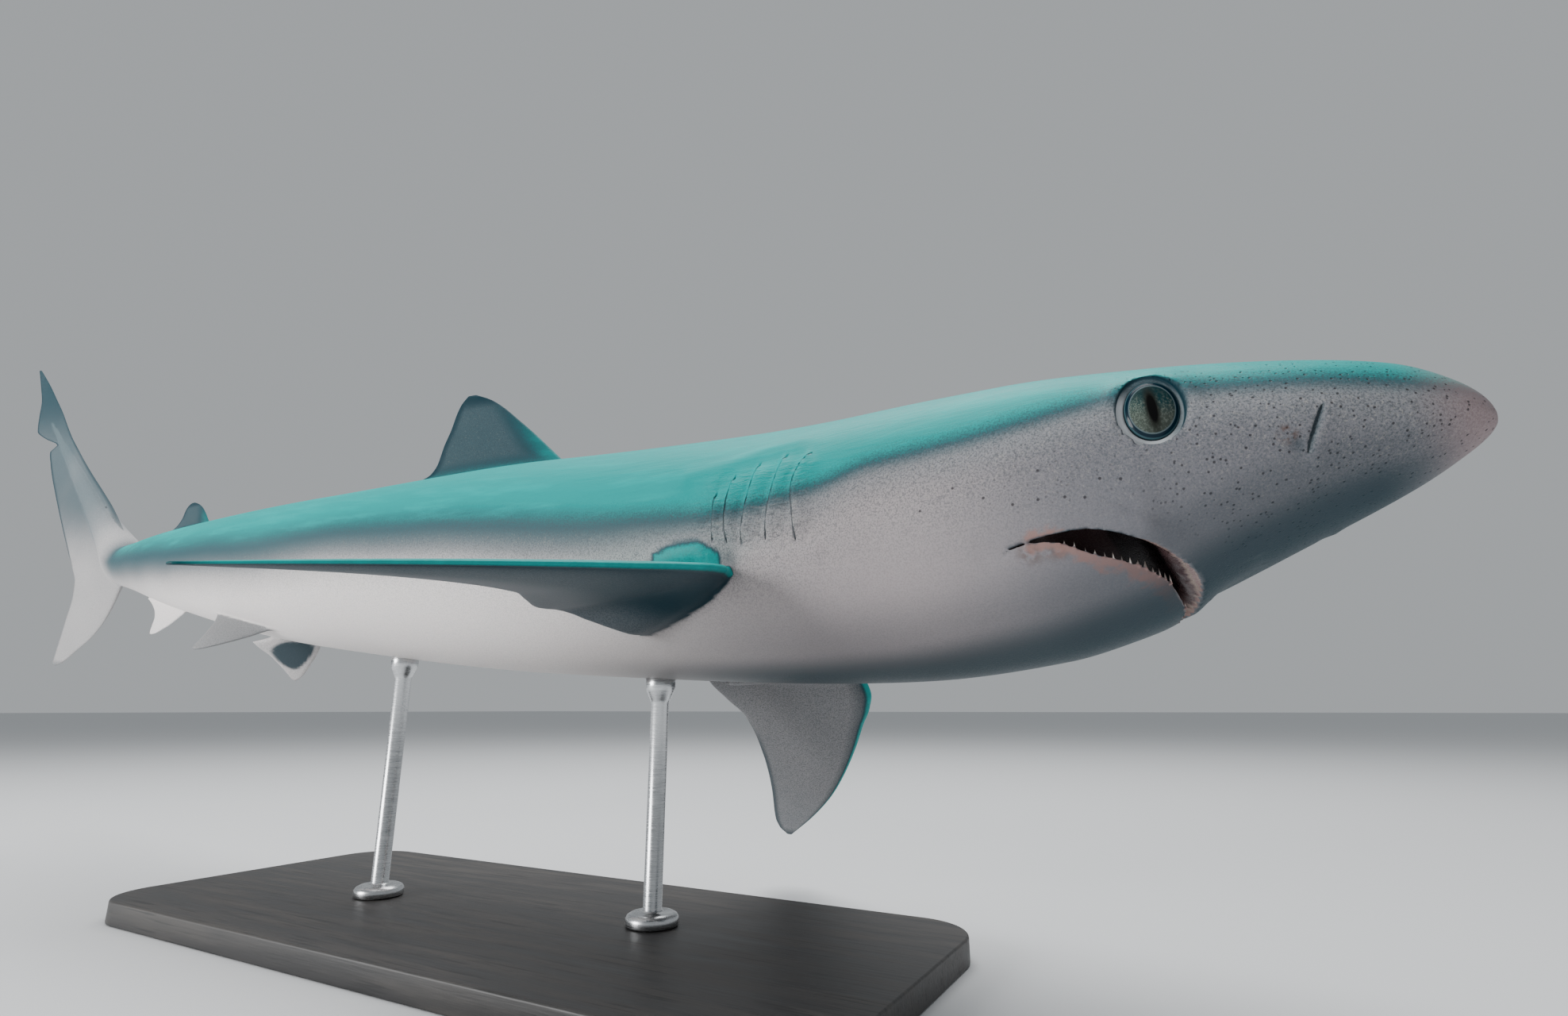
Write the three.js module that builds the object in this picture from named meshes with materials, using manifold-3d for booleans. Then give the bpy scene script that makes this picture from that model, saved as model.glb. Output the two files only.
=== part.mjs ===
// A half-grown blue shark, swimming with its mouth a little open, held by a plain display stand.
// +X points to the snout, +Z up, and the shark's right side faces -Y.
// The origin is the middle of the base's underside. All sizes end up in millimetres.
import * as THREE from 'three';
import { LoftGeometry } from 'three/addons/geometries/LoftGeometry.js';
import { mergeVertices } from 'three/addons/utils/BufferGeometryUtils.js';
import Module from 'manifold-3d';

// ---------------------------------------------------------------- driving dimensions
const TOTAL_LENGTH = 1600;
const PERCENT = TOTAL_LENGTH / 100; // the animal's stations and sizes are in % of its total length
const GAP = 0.3; // clearance between pieces that touch
const BODY_SIDES = 32;
const FIN_SIDES = 12;
const FIN_EDGE = 0.35; // half the thickness left at a fin's edge

// the swimming curve: which way the animal faces at each station, in degrees. ROLL lifts its right side.
const HEADING = [[0, 6.7], [12, 6.7], [26, -1.1], [42, -10.5], [60, 1.7], [73, 11.5],
  [76, -2.6], [99, -2.6]];
const PITCH = [[0, 3.4], [12, 3.4], [26, -2.2], [42, -2.5], [60, -5.5], [74, -6],
  [76.8, -38], [99, -40]];
const ROLL = [[0, 18], [22, 18], [34, 11], [46, 7], [60, 3.5], [74, 0], [99, 0]];

// height above the axis, depth below it and half width, by station from the snout's tip at SNOUT
const SNOUT = 0.12;
const BACK = [[0.12, 0], [0.8, 1.22], [2, 1.98], [4, 2.39], [8, 3.09], [12, 3.72], [17, 4.32], [24, 4.69],
  [34, 4.84], [48, 3.66], [62, 2.28], [70, 1.66], [75, 1.46], [80, 1], [86, 0.75], [93, 0.4], [99, 0.1]];
const BELLY = [[0.12, 0], [0.8, 0.6], [2, 1.18], [4, 1.87], [7, 3.13], [7.7, 3.5], [8.3, 4.03], [10, 4.62],
  [12, 5.06], [17, 5.41], [24, 5.37], [34, 5.22], [48, 4.29], [62, 2.71], [70, 1.85], [75, 1.52],
  [80, 1.2], [86, 0.8], [93, 0.45], [99, 0.1]];
const FLANK = [[0.12, 0], [0.8, 1.14], [2, 1.98], [4, 2.99], [8, 4.08], [12, 4.76], [17, 4.98], [24, 5.02],
  [34, 4.75], [48, 3.83], [62, 2.5], [70, 1.82], [75, 1.51], [80, 0.85], [86, 0.45], [93, 0.2], [99, 0.06]];
// how square the section is: 2 is an ellipse
const BACK_POWER = [[0, 2], [4, 2.15], [8, 2.25], [12, 2.2], [24, 2], [99, 2]];
const BELLY_POWER = [[0, 2], [2, 2.15], [4, 2.3], [8, 2.35], [12, 2.3], [17, 2.15], [24, 2], [99, 2]];

// the named lengths of the body, each with the stations of its rings
const LENGTHS = [
  { name: 'head', rings: [0.15, 0.3, 0.7, 1.2, 2, 3, 4, 5.2, 6.4, 7.4, 8.4, 9.4, 10.6, 12, 13.6, 15.4,
    17.2] },
  { name: 'gill_region', rings: [17.2, 18.8, 20.4, 21.9, 23.4] },
  { name: 'trunk_front', rings: [23.4, 25.5, 28, 31, 34.5, 38] },
  { name: 'trunk_rear', rings: [38, 41.5, 45, 48.5, 52, 55] },
  { name: 'tail_stalk', rings: [55, 58, 61, 64, 67, 70, 72.5, 75.2] },
];
const TAIL_CORE = [75.2, 76.2, 77.4, 79, 81.5, 84.5, 88, 91.5, 95, 99];

// the mouth, seen from the side: [station, height] along each lip from the corner to the front. It lies
// under the head, so an arch is what the belly's curve makes of it.
const UPPER_LIP = [[12, -3.58], [11.11, -3.38], [10.45, -3.28], [10, -3.22], [9.55, -3.2], [9.09, -3.26],
  [8.4, -3.38], [7.81, -3.42], [7.47, -3.36], [7.39, -3.3]];
const LOWER_LIP = [[12, -3.6], [11.11, -3.4], [10.49, -3.42], [10.22, -3.48], [9.95, -3.57], [9.7, -3.66],
  [9.17, -3.74], [8.61, -3.82], [8.34, -3.88], [8.07, -3.86]];
// seen from below, the jaw's front falls back by the square of the distance from the middle
const JAW_FRONT = { station: 8.16, back: 0.03, reach: 6 };
const JAW_HINGE = [[13.3, -3.9], [14.6, -4.4], [15.6, -5.2], [16.2, -7]]; // the cut behind the jaw
const TOOTH = { count: 7, first: 8.62, pitch: 0.25, height: 0.2, root: 0.06, width: 0.09, inset: 0.3 };

// the eye, nostril and gill slits, on the right side; the left side mirrors them. An eye looks out from
// the flank, a little forward and down.
const EYE = { station: 7.55, height: -0.13, radius: 15.2, depth: 6.5, sunk: 2.8, forward: 0.08, down: 0.2 };
const NOSTRIL = { top: [3.71, -0.38], bottom: [4.29, -1.49], width: 1.8, depth: 5 };
const GILL_SLITS = [
  { top: [18.5, 0.8], middle: [19.06, -0.74], bottom: [18.88, -2.39] },
  { top: [19.64, 0.86], middle: [19.96, -0.7], bottom: [20.15, -2.28] },
  { top: [20.8, 0.63], middle: [21.02, -0.8], bottom: [21.19, -2.26] },
  { top: [21.87, 0.26], middle: [21.93, -1], bottom: [21.85, -2.2] },
  { top: [22.61, -0.43], middle: [22.51, -1.3], bottom: [22.48, -2.08] },
];
const SLIT = { width: 0.9, depth: 4 };

// fins: rows of [reach from the root, leading edge, trailing edge, thickness in mm]. The single fins
// stand on the back or belly line and count their edges as stations.
const FIRST_DORSAL = [[-0.7, 34.3, 42.4, 9], [0, 34.9, 42.6, 8], [0.3, 35.2, 45.8, 6.5], [0.5, 35.4, 44.6, 6],
  [0.9, 35.85, 43.6, 5.5], [1.5, 36.55, 43.3, 5], [2.5, 37.7, 43.2, 4.2], [3.5, 38.9, 43, 3.2],
  [4.4, 40, 42.9, 2.4], [5, 40.9, 42.75, 1.8], [5.45, 41.9, 42.45, 1.2]];
const SECOND_DORSAL = [[-0.5, 61, 65.8, 5.5], [0, 61.4, 66, 5], [0.12, 61.5, 69.6, 4.2],
  [0.35, 61.7, 67.2, 3.8], [0.7, 62.1, 66.2, 3.4], [1.1, 62.6, 65.75, 2.8], [1.5, 63.2, 65.6, 2.2],
  [1.8, 63.9, 65.3, 1.6], [1.93, 64.4, 64.9, 1.2]];
const ANAL = [[-0.5, 60.7, 65.4, 5.5], [0, 61.1, 65.6, 5], [0.12, 61.3, 69.2, 4.2], [0.4, 61.8, 67.6, 3.8],
  [0.8, 62.5, 66.4, 3.4], [1.2, 63.25, 66.1, 2.8], [1.6, 64.2, 66.2, 2.2], [1.95, 65.1, 66.3, 1.6],
  [2.15, 65.9, 66.25, 1.2]];
const PELVIC = {
  station: 49.7,
  height: -3.77,
  span: 1.95,
  rows: [[-0.9, -0.3, 4.6, 7.5], [-0.5, -0.15, 4.45, 6.5], [0, 0, 4.1, 5.6], [0.5, 0.62, 3.8, 4.6],
    [1, 1.32, 3.62, 3.6], [1.45, 2.02, 3.5, 2.6], [1.78, 2.6, 3.42, 1.8], [1.95, 3, 3.3, 1.2]],
};
// the pectoral's edges and thickness by share of its span
const PECTORAL = {
  station: 22.16,
  height: -3.06,
  span: 14.04,
  reaches: [-0.22, 0, 0.07, 0.14, 0.22, 0.3, 0.4, 0.5, 0.6, 0.7, 0.78, 0.86, 0.92, 0.96, 0.985, 1],
  lead: [[0, -0.6], [0.07, -1.3], [0.14, -1.3], [0.3, -0.2], [0.5, 1.1], [0.7, 2.7], [0.86, 4.4],
    [0.96, 5.65], [1, 6.17]],
  chord: [[0, 5.2], [0.07, 6.7], [0.14, 8.1], [0.3, 5.94], [0.5, 4.55], [0.7, 3.35], [0.86, 2.18],
    [0.95, 1.21], [1, 0.3]],
  thickness: [[0, 13], [0.14, 10.5], [0.3, 8.5], [0.5, 6.5], [0.7, 4.6], [0.86, 3], [1, 1.4]],
};
// how each paired fin is held: droop below the body's own level, swing towards the tail, how far ahead
// its root is drawn, and pitch of the chord by share of the span
const PECTORAL_RIGHT = {
  droop: 23.9,
  swing: 0,
  ahead: 0,
  pitch: [[0, 24], [0.12, 7.3], [0.35, 4.2], [1, -1.9]],
};
const PECTORAL_LEFT = {
  droop: 24.2,
  swing: 6.4,
  ahead: 0.6,
  pitch: [[0, 24], [0.12, 1], [0.35, 2.7], [1, 4]],
};
const PELVIC_RIGHT = { droop: 53, swing: 0, ahead: 0, pitch: [[0, -6], [1, -6]] };
const PELVIC_LEFT = { droop: 47, swing: -8, ahead: 0, pitch: [[0, 10], [1, 10]] };
// the tail fin's rows run level, from the lower tip to the upper one
const CAUDAL = [[-7.53, 6.95, 7.35, 1.2], [-7.3, 6.2, 7.45, 1.8], [-6.4, 4.65, 7.4, 2.6],
  [-5.3, 2.9, 7.28, 3.6], [-4.2, 1.75, 7.2, 5], [-2.8, 0.95, 7.05, 7], [-1.4, 0.45, 7.35, 10],
  [-0.4, 0.2, 8.25, 11], [0.6, 0.3, 9.35, 11], [1.5, 1, 10.3, 10], [2.8, 2.7, 11.65, 8],
  [4.2, 4.6, 13.05, 6.5], [5.6, 6.85, 14.4, 5.5], [7, 9.2, 15.7, 4.8], [8.2, 11.1, 16.65, 4.2],
  [9.2, 12.6, 17.25, 3.8], [9.7, 13.35, 16.3, 3.6], [10.3, 14.2, 18.4, 3.4], [10.7, 14.7, 19.7, 3.2],
  [11.1, 15.2, 20.6, 3], [12.6, 17, 21.15, 2.6], [13.7, 18.5, 21.4, 2.2], [15.4, 20.85, 22.5, 1.7],
  [16.97, 23.3, 23.65, 1.1]];
const CAUDAL_FACING = { station: 75, heading: -2.6, pitch: -5.4, roll: 0 };
const LOBES_PART = -1.2; // the height where the tail fin's two lobes meet

// the stand
const BASE = { length: 600, width: 240, corner: 40, thickness: 16, bevel: 1.5 };
const ROD = { stations: [28.5, 43], radius: 6, collar: 17, collarHeight: 8, saddle: 10, saddleHeight: 16 };
const AXIS_HEIGHT = 259.5; // of the body's axis over the middle of the stand

// ---------------------------------------------------------------- the swimming curve and the section
const rad = THREE.MathUtils.degToRad;

// The value of a smooth curve through [place, value] knots. It never swings past a knot.
function along(knots, place) {
  const last = knots.length - 2;
  const next = knots.findIndex(([at]) => at > place);
  const k = next < 0 ? last : Math.max(next - 1, 0);
  const secant = (i) => (knots[i + 1][1] - knots[i][1]) / (knots[i + 1][0] - knots[i][0]);
  const slope = (i) => {
    if (i === 0 || i > last) return secant(Math.min(i, last));
    const [a, b] = [secant(i - 1), secant(i)];
    return a * b > 0 ? (2 * a * b) / (a + b) : 0;
  };
  const width = knots[k + 1][0] - knots[k][0];
  const p = THREE.MathUtils.clamp((place - knots[k][0]) / width, 0, 1);
  const rise = p * p * (3 - 2 * p);
  const bulge = width * p * (1 - p) * (slope(k) * (1 - p) - slope(k + 1) * p);
  return THREE.MathUtils.lerp(knots[k][1], knots[k + 1][1], rise) + bulge;
}

// A girth runs against the root of the station, which rounds the snout's tip.
function girth(knots, station) {
  const fromTip = (at) => Math.sqrt(Math.max(at - SNOUT, 0));
  return along(knots.map(([at, value]) => [fromTip(at), value]), fromTip(station)) * PERCENT;
}

// The forward, right and up directions at a heading, a pitch and a roll in degrees.
function bearing(heading, pitch, roll) {
  const [turn, climb, bank] = [rad(heading), rad(pitch), rad(roll)];
  const level = new THREE.Vector3(-Math.sin(turn), -Math.cos(turn), 0);
  const forward = new THREE.Vector3(Math.cos(turn), -Math.sin(turn), 0)
    .multiplyScalar(Math.cos(climb))
    .setZ(Math.sin(climb));
  const upright = level.clone().cross(forward);
  const right = level.multiplyScalar(Math.cos(bank)).addScaledVector(upright, Math.sin(bank));
  return { forward, right, up: right.clone().cross(forward) };
}

function facing(station) {
  return bearing(along(HEADING, station), along(PITCH, station), along(ROLL, station));
}

// The axis is walked backwards from the snout in short steps.
const STEP = 0.1;
const axis = [new THREE.Vector3()];
for (let station = 0; station < 99; station += STEP) {
  axis.push(axis.at(-1).clone().addScaledVector(facing(station + STEP / 2).forward, -STEP * PERCENT));
}
const walked = (station) => axis[Math.round(station / STEP)];
const middle = walked(ROD.stations[0]).clone().add(walked(ROD.stations[1])).multiplyScalar(0.5);
const shift = new THREE.Vector3(0, 0, AXIS_HEIGHT).sub(middle);

function axisAt(station) {
  const place = THREE.MathUtils.clamp(station / STEP, 0, axis.length - 1);
  const k = Math.min(Math.floor(place), axis.length - 2);
  return axis[k].clone().lerp(axis[k + 1], place - k).add(shift);
}

// A place given by its station, its height over the axis and its distance to the right of it, in %.
function place(station, height, right) {
  const way = facing(station);
  return axisAt(station)
    .addScaledVector(way.up, height * PERCENT)
    .addScaledVector(way.right, right * PERCENT);
}

// How far the flank stands out at a height, in %.
function flankAt(station, height) {
  const reach = girth(height > 0 ? BACK : BELLY, station) / PERCENT;
  const power = along(height > 0 ? BACK_POWER : BELLY_POWER, station);
  const level = Math.min(Math.abs(height) / reach, 1);
  return (girth(FLANK, station) / PERCENT) * (1 - level ** power) ** (1 / power);
}

// One ring of the body. grow swells it, to cut clearance into its neighbours.
function ring(station, grow = 0, sides = BODY_SIDES) {
  const way = facing(station);
  return Array.from({ length: sides }, (_, k) => {
    const angle = (k / sides) * 2 * Math.PI;
    const [across, over] = [Math.cos(angle), Math.sin(angle)];
    const power = 2 / along(over > 0 ? BACK_POWER : BELLY_POWER, station);
    const rise = girth(over > 0 ? BACK : BELLY, station) + grow;
    const reach = girth(FLANK, station) + grow;
    return axisAt(station)
      .addScaledVector(way.right, reach * Math.sign(across) * Math.abs(across) ** power)
      .addScaledVector(way.up, rise * Math.sign(over) * Math.abs(over) ** power);
  });
}

// ---------------------------------------------------------------- solids
const wasm = await Module();
wasm.setup();

// Makes a closed geometry a solid, with its faces turned outwards.
function solid(geometry) {
  const shell = new THREE.BufferGeometry();
  shell.setAttribute('position', geometry.attributes.position);
  shell.setIndex(geometry.index);
  const merged = mergeVertices(shell, 1e-3);
  const points = merged.attributes.position;
  const corner = (i) => new THREE.Vector3().fromBufferAttribute(points, i);
  const faces = [];
  let volume = 0;
  for (let i = 0; i < merged.index.count; i += 3) {
    const [a, b, c] = [merged.index.getX(i), merged.index.getX(i + 1), merged.index.getX(i + 2)];
    if (a === b || b === c || c === a) continue;
    faces.push([a, b, c]);
    volume += corner(a).dot(corner(b).cross(corner(c)));
  }
  const triVerts = Uint32Array.from(faces.flatMap(([a, b, c]) => (volume > 0 ? [a, b, c] : [a, c, b])));
  return new wasm.Manifold(new wasm.Mesh({ numProp: 3, vertProperties: points.array, triVerts }));
}

// Skins over a row of sections, which have to run anticlockwise seen from the last one.
function loft(sections) {
  const [first, second] = sections;
  const turning = new THREE.Vector3();
  const ahead = new THREE.Vector3();
  first.forEach((point, i) => {
    turning.add(point.clone().sub(first[0]).cross(first[(i + 1) % first.length].clone().sub(first[0])));
    ahead.add(second[i]).sub(point);
  });
  const ordered = turning.dot(ahead) > 0 ? sections : sections.map((section) => section.toReversed());
  return solid(new LoftGeometry(ordered, { capStart: true, capEnd: true }));
}

function bodyLength(stations, grow = 0) {
  return loft(stations.map((station) => ring(station, grow)));
}

const part = new THREE.Group();

function add(name, shape, look) {
  const mesh = shape.getMesh();
  const geometry = new THREE.BufferGeometry();
  geometry.setAttribute('position', new THREE.BufferAttribute(mesh.vertProperties, 3));
  geometry.setIndex(new THREE.BufferAttribute(mesh.triVerts, 1));
  const piece = new THREE.Mesh(geometry, new THREE.MeshStandardMaterial(look));
  piece.name = name;
  part.add(piece);
}

const BACK_SKIN = { color: 0x4f6f7d, roughness: 0.5, metalness: 0 };
const FLANK_SKIN = { color: 0x8d9aa1, roughness: 0.5, metalness: 0 };
const PALE_SKIN = { color: 0xd5d0cd, roughness: 0.5, metalness: 0 };
const EYE_LOOK = { color: 0x232b2a, roughness: 0.08, metalness: 0 };
const BASE_LOOK = { color: 0x2b2d30, roughness: 0.5, metalness: 0 };
const ROD_LOOK = { color: 0xa9adb0, roughness: 0.3, metalness: 1 };

// The whole animal a little swollen, which fins and rods are cut back from.
const allRings = [...new Set(LENGTHS.flatMap(({ rings }) => rings))];
const swollen = bodyLength(allRings, GAP);

// ---------------------------------------------------------------- head, jaw, eyes and gills
// A prism right across the head, from its outline seen from the side.
function acrossHead(outline) {
  const side = (right) => outline.map(([station, height]) => place(station, height, right));
  return loft([side(-8), side(8)]);
}

// An eyeball: a flat lens set into the flank, swollen by grow to cut its socket.
function eyeball(side, grow = 0) {
  const { station, height, radius, depth, sunk, forward, down } = EYE;
  const way = facing(station);
  const gaze = outward(station, height, side)
    .addScaledVector(way.forward, forward)
    .addScaledVector(way.up, -down)
    .normalize();
  const shape = new THREE.SphereGeometry(1, 16, 10).rotateX(Math.PI / 2);
  const turn = new THREE.Quaternion().setFromUnitVectors(new THREE.Vector3(0, 0, 1), gaze);
  const centre = place(station, height, side * flankAt(station, height)).addScaledVector(gaze, -sunk);
  const size = new THREE.Vector3(radius + grow, radius + grow, depth + grow);
  shape.applyMatrix4(new THREE.Matrix4().compose(centre, turn, size));
  return solid(shape);
}

// The skin's outward direction on the flank.
function outward(station, height, side) {
  const at = (s, h) => place(s, h, side * flankAt(s, h));
  const backwards = at(station + 0.2, height).sub(at(station - 0.2, height));
  const upwards = at(station, height + 0.2).sub(at(station, height - 0.2));
  return backwards.cross(upwards).multiplyScalar(-side).normalize();
}

// A thin blade let into the flank along a line of [station, height] points.
function slit(line, side, width, depth) {
  return loft(line.map(([station, height]) => {
    const out = outward(station, height, side);
    const across = facing(station).forward.clone().multiplyScalar(width / 2);
    const centre = place(station, height, side * flankAt(station, height));
    const top = centre.clone().addScaledVector(out, depth);
    const bottom = centre.clone().addScaledVector(out, -depth);
    return [top.clone().add(across), top.clone().sub(across), bottom.clone().sub(across), bottom.add(across)];
  }));
}

const parted = (GAP / 2) / PERCENT;
const lengths = {};
for (const { name, rings } of LENGTHS) {
  const stations = [...rings];
  if (name !== 'head') stations[0] += parted;
  stations[stations.length - 1] -= parted;
  lengths[name] = bodyLength(stations);
}

// ---------------------------------------------------------------- the mouth
// Each cutter is the region under a lip, in front of the jaw's hinge.
const floor = -9;
const underLip = (lip, hinge) => acrossHead([
  ...lip,
  [lip.at(-1)[0], floor],
  [hinge.at(-1)[0], floor],
  ...hinge.toReversed(),
]);
const jawLip = LOWER_LIP.map(([station, height]) => [station - parted, height - parted]);
const jawHinge = JAW_HINGE.map(([station, height]) => [station - 2 * parted, height - 2 * parted]);

// The jaw's rounded front, as a prism right through the head from below.
function jawFront() {
  const { station, back, reach } = JAW_FRONT;
  const outline = Array.from({ length: 9 }, (_, k) => (k / 4 - 1) * reach)
    .map((right) => [station + back * right ** 2, right]);
  outline.push([20, reach], [20, -reach]);
  return loft([-9, 0].map((height) => outline.map(([at, right]) => place(at, height, right))));
}

function tooth(station, side) {
  const height = along(LOWER_LIP.toReversed(), station);
  const whole = TOOTH.height + TOOTH.root;
  const shape = new THREE.ConeGeometry(TOOTH.width * PERCENT, whole * PERCENT, 5);
  const way = facing(station);
  shape.translate(0, (whole / 2 - TOOTH.root) * PERCENT, 0);
  shape.rotateX(Math.PI / 2);
  const turn = new THREE.Quaternion().setFromUnitVectors(new THREE.Vector3(0, 0, 1), way.up);
  const foot = place(station, height, side * (flankAt(station, height) - TOOTH.inset));
  shape.applyMatrix4(new THREE.Matrix4().compose(foot, turn, new THREE.Vector3(1, 1, 1)));
  return solid(shape);
}

let head = lengths.head.subtract(underLip(UPPER_LIP, JAW_HINGE));
let lowerJaw = lengths.head.intersect(underLip(jawLip, jawHinge)).intersect(jawFront());
for (const side of [1, -1]) {
  for (let k = 0; k < TOOTH.count; k++) {
    lowerJaw = lowerJaw.add(tooth(TOOTH.first + k * TOOTH.pitch, side));
  }
}

// ---------------------------------------------------------------- eyes, nostrils and gill slits
let gills = lengths.gill_region;
for (const side of [1, -1]) {
  head = head.subtract(eyeball(side, GAP));
  head = head.subtract(slit([NOSTRIL.top, NOSTRIL.bottom], side, NOSTRIL.width, NOSTRIL.depth));
  for (const { top, middle: waist, bottom } of GILL_SLITS) {
    gills = gills.subtract(slit([top, waist, bottom], side, SLIT.width, SLIT.depth));
  }
  add(side > 0 ? 'eye_right' : 'eye_left', eyeball(side), EYE_LOOK);
}
add('head', head, FLANK_SKIN);
add('lower_jaw', lowerJaw, PALE_SKIN);
add('gill_region', gills, FLANK_SKIN);
add('trunk_front', lengths.trunk_front, BACK_SKIN);
add('trunk_rear', lengths.trunk_rear, BACK_SKIN);
add('tail_stalk', lengths.tail_stalk, FLANK_SKIN);

// ---------------------------------------------------------------- fins
// A blade through rows of [reach, lead, trail, thickness]. toSpace turns (reach, back, off) into a place,
// with off in % of the total length.
function blade(rows, toSpace) {
  return loft(rows.map(([reach, lead, trail, thickness]) => (
    Array.from({ length: FIN_SIDES }, (_, k) => {
      const angle = ((k + 0.5) / FIN_SIDES) * 2 * Math.PI;
      const share = (1 - Math.cos(angle)) / 2;
      const fullness = Math.sin(angle) * (1.3 - 0.6 * share);
      const off = Math.sign(fullness) * FIN_EDGE + (thickness / 2 - FIN_EDGE) * fullness;
      return toSpace(reach, lead + (trail - lead) * share, off / PERCENT);
    })
  )));
}

const onBack = (reach, station, off) => place(station, girth(BACK, station) / PERCENT + reach, off);
const onBelly = (reach, station, off) => place(station, -girth(BELLY, station) / PERCENT - reach, off);
add('dorsal_fin_first', blade(FIRST_DORSAL, onBack).subtract(swollen), BACK_SKIN);
add('dorsal_fin_second', blade(SECOND_DORSAL, onBack).subtract(swollen), BACK_SKIN);
add('anal_fin', blade(ANAL, onBelly).subtract(swollen), PALE_SKIN);

// A paired fin leaves the flank as it is held. leadAt gives the line its chord is pitched about.
function pairedFin(root, side, rows, held, leadAt) {
  const way = facing(root.station);
  const origin = place(root.station, root.height, side * flankAt(root.station, root.height))
    .addScaledVector(way.forward, held.ahead * PERCENT);
  const [droop, swing] = [rad(held.droop), rad(held.swing)];
  const turned = (a, b, angle) => (
    a.clone().multiplyScalar(Math.cos(angle)).addScaledVector(b, Math.sin(angle))
  );
  const level = way.right.clone().multiplyScalar(side);
  const spread = turned(level, way.up, -droop);
  const normal = turned(way.up, level, droop);
  const outwards = turned(spread, way.forward, -swing);
  const ahead = turned(way.forward, spread, swing);
  return blade(rows, (reach, back, off) => {
    const pitch = rad(along(held.pitch, reach / root.span));
    const hinge = leadAt(reach / root.span);
    const behind = hinge + (back - hinge) * Math.cos(pitch) + off * Math.sin(pitch);
    const lifted = off * Math.cos(pitch) - (back - hinge) * Math.sin(pitch);
    return origin.clone()
      .addScaledVector(outwards, reach * PERCENT)
      .addScaledVector(ahead, -behind * PERCENT)
      .addScaledVector(normal, lifted * PERCENT);
  }).subtract(swollen);
}

const pectoralLead = (share) => along(PECTORAL.lead, share);
const pectoralRows = PECTORAL.reaches.map((share) => {
  const lead = pectoralLead(share);
  return [share * PECTORAL.span, lead, lead + along(PECTORAL.chord, share), along(PECTORAL.thickness, share)];
});
const sides = [
  { name: 'right', side: 1, pectoral: PECTORAL_RIGHT, pelvic: PELVIC_RIGHT },
  { name: 'left', side: -1, pectoral: PECTORAL_LEFT, pelvic: PELVIC_LEFT },
];
for (const { name, side, pectoral, pelvic } of sides) {
  const pectoralFin = pairedFin(PECTORAL, side, pectoralRows, pectoral, pectoralLead);
  add(`pectoral_fin_${name}`, pectoralFin, FLANK_SKIN);
  add(`pelvic_fin_${name}`, pairedFin(PELVIC, side, PELVIC.rows, pelvic, () => 0), PALE_SKIN);
}

// The tail fin: the backbone runs up into the upper lobe, with the thin blade round it.
const tailOrigin = axisAt(CAUDAL_FACING.station);
const tailWay = bearing(CAUDAL_FACING.heading, CAUDAL_FACING.pitch, CAUDAL_FACING.roll);
const inTail = (reach, back, off) => tailOrigin.clone()
  .addScaledVector(tailWay.up, reach * PERCENT)
  .addScaledVector(tailWay.forward, -back * PERCENT)
  .addScaledVector(tailWay.right, off * PERCENT);
const core = loft(TAIL_CORE.map((station, k) => ring(k === 0 ? station + parted : station, 0, 16)));
const caudal = blade(CAUDAL, inTail).subtract(swollen).add(core);
const below = (level) => loft([-9, 9].map((off) => [[level, -30], [level, 30], [-30, 30], [-30, -30]]
  .map(([reach, back]) => inTail(reach, back, off))));
add('caudal_fin_upper', caudal.subtract(below(LOBES_PART)), FLANK_SKIN);
add('caudal_fin_lower', caudal.intersect(below(LOBES_PART - 2 * parted)), PALE_SKIN);

// ---------------------------------------------------------------- the stand
const plate = new THREE.Shape();
const [halfLength, halfWidth] = [BASE.length / 2 - BASE.corner, BASE.width / 2 - BASE.corner];
plate.absarc(halfLength, halfWidth, BASE.corner, 0, Math.PI / 2);
plate.absarc(-halfLength, halfWidth, BASE.corner, Math.PI / 2, Math.PI);
plate.absarc(-halfLength, -halfWidth, BASE.corner, Math.PI, 1.5 * Math.PI);
plate.absarc(halfLength, -halfWidth, BASE.corner, 1.5 * Math.PI, 2 * Math.PI);
const base = new THREE.ExtrudeGeometry(plate, {
  depth: BASE.thickness - 2 * BASE.bevel,
  bevelThickness: BASE.bevel,
  bevelSize: BASE.bevel,
  bevelOffset: -BASE.bevel,
  bevelSegments: 1,
  curveSegments: 5,
});
add('stand_base', solid(base.translate(0, 0, BASE.bevel)), BASE_LOOK);

ROD.stations.forEach((station, k) => {
  const top = axisAt(station);
  const belly = top.z - girth(BELLY, station);
  const foot = BASE.thickness + GAP;
  const profile = [
    [0, foot],
    [ROD.collar, foot],
    [ROD.collar, foot + ROD.collarHeight * 0.6],
    [ROD.collar * 0.8, foot + ROD.collarHeight],
    [ROD.radius, foot + ROD.collarHeight],
    [ROD.radius, belly - ROD.saddleHeight],
    [ROD.saddle, belly - ROD.saddleHeight * 0.4],
    [ROD.saddle, belly + ROD.saddleHeight],
    [0, belly + ROD.saddleHeight],
  ];
  const rod = new THREE.LatheGeometry(profile.map(([radius, z]) => new THREE.Vector2(radius, z)), 20);
  rod.rotateX(Math.PI / 2).translate(top.x, top.y, 0);
  add(k === 0 ? 'stand_rod_front' : 'stand_rod_rear', solid(rod).subtract(swollen), ROD_LOOK);
});

export default part;
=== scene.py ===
import functools
import math

import bmesh
import bpy
from mathutils import Matrix, Vector


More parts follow.
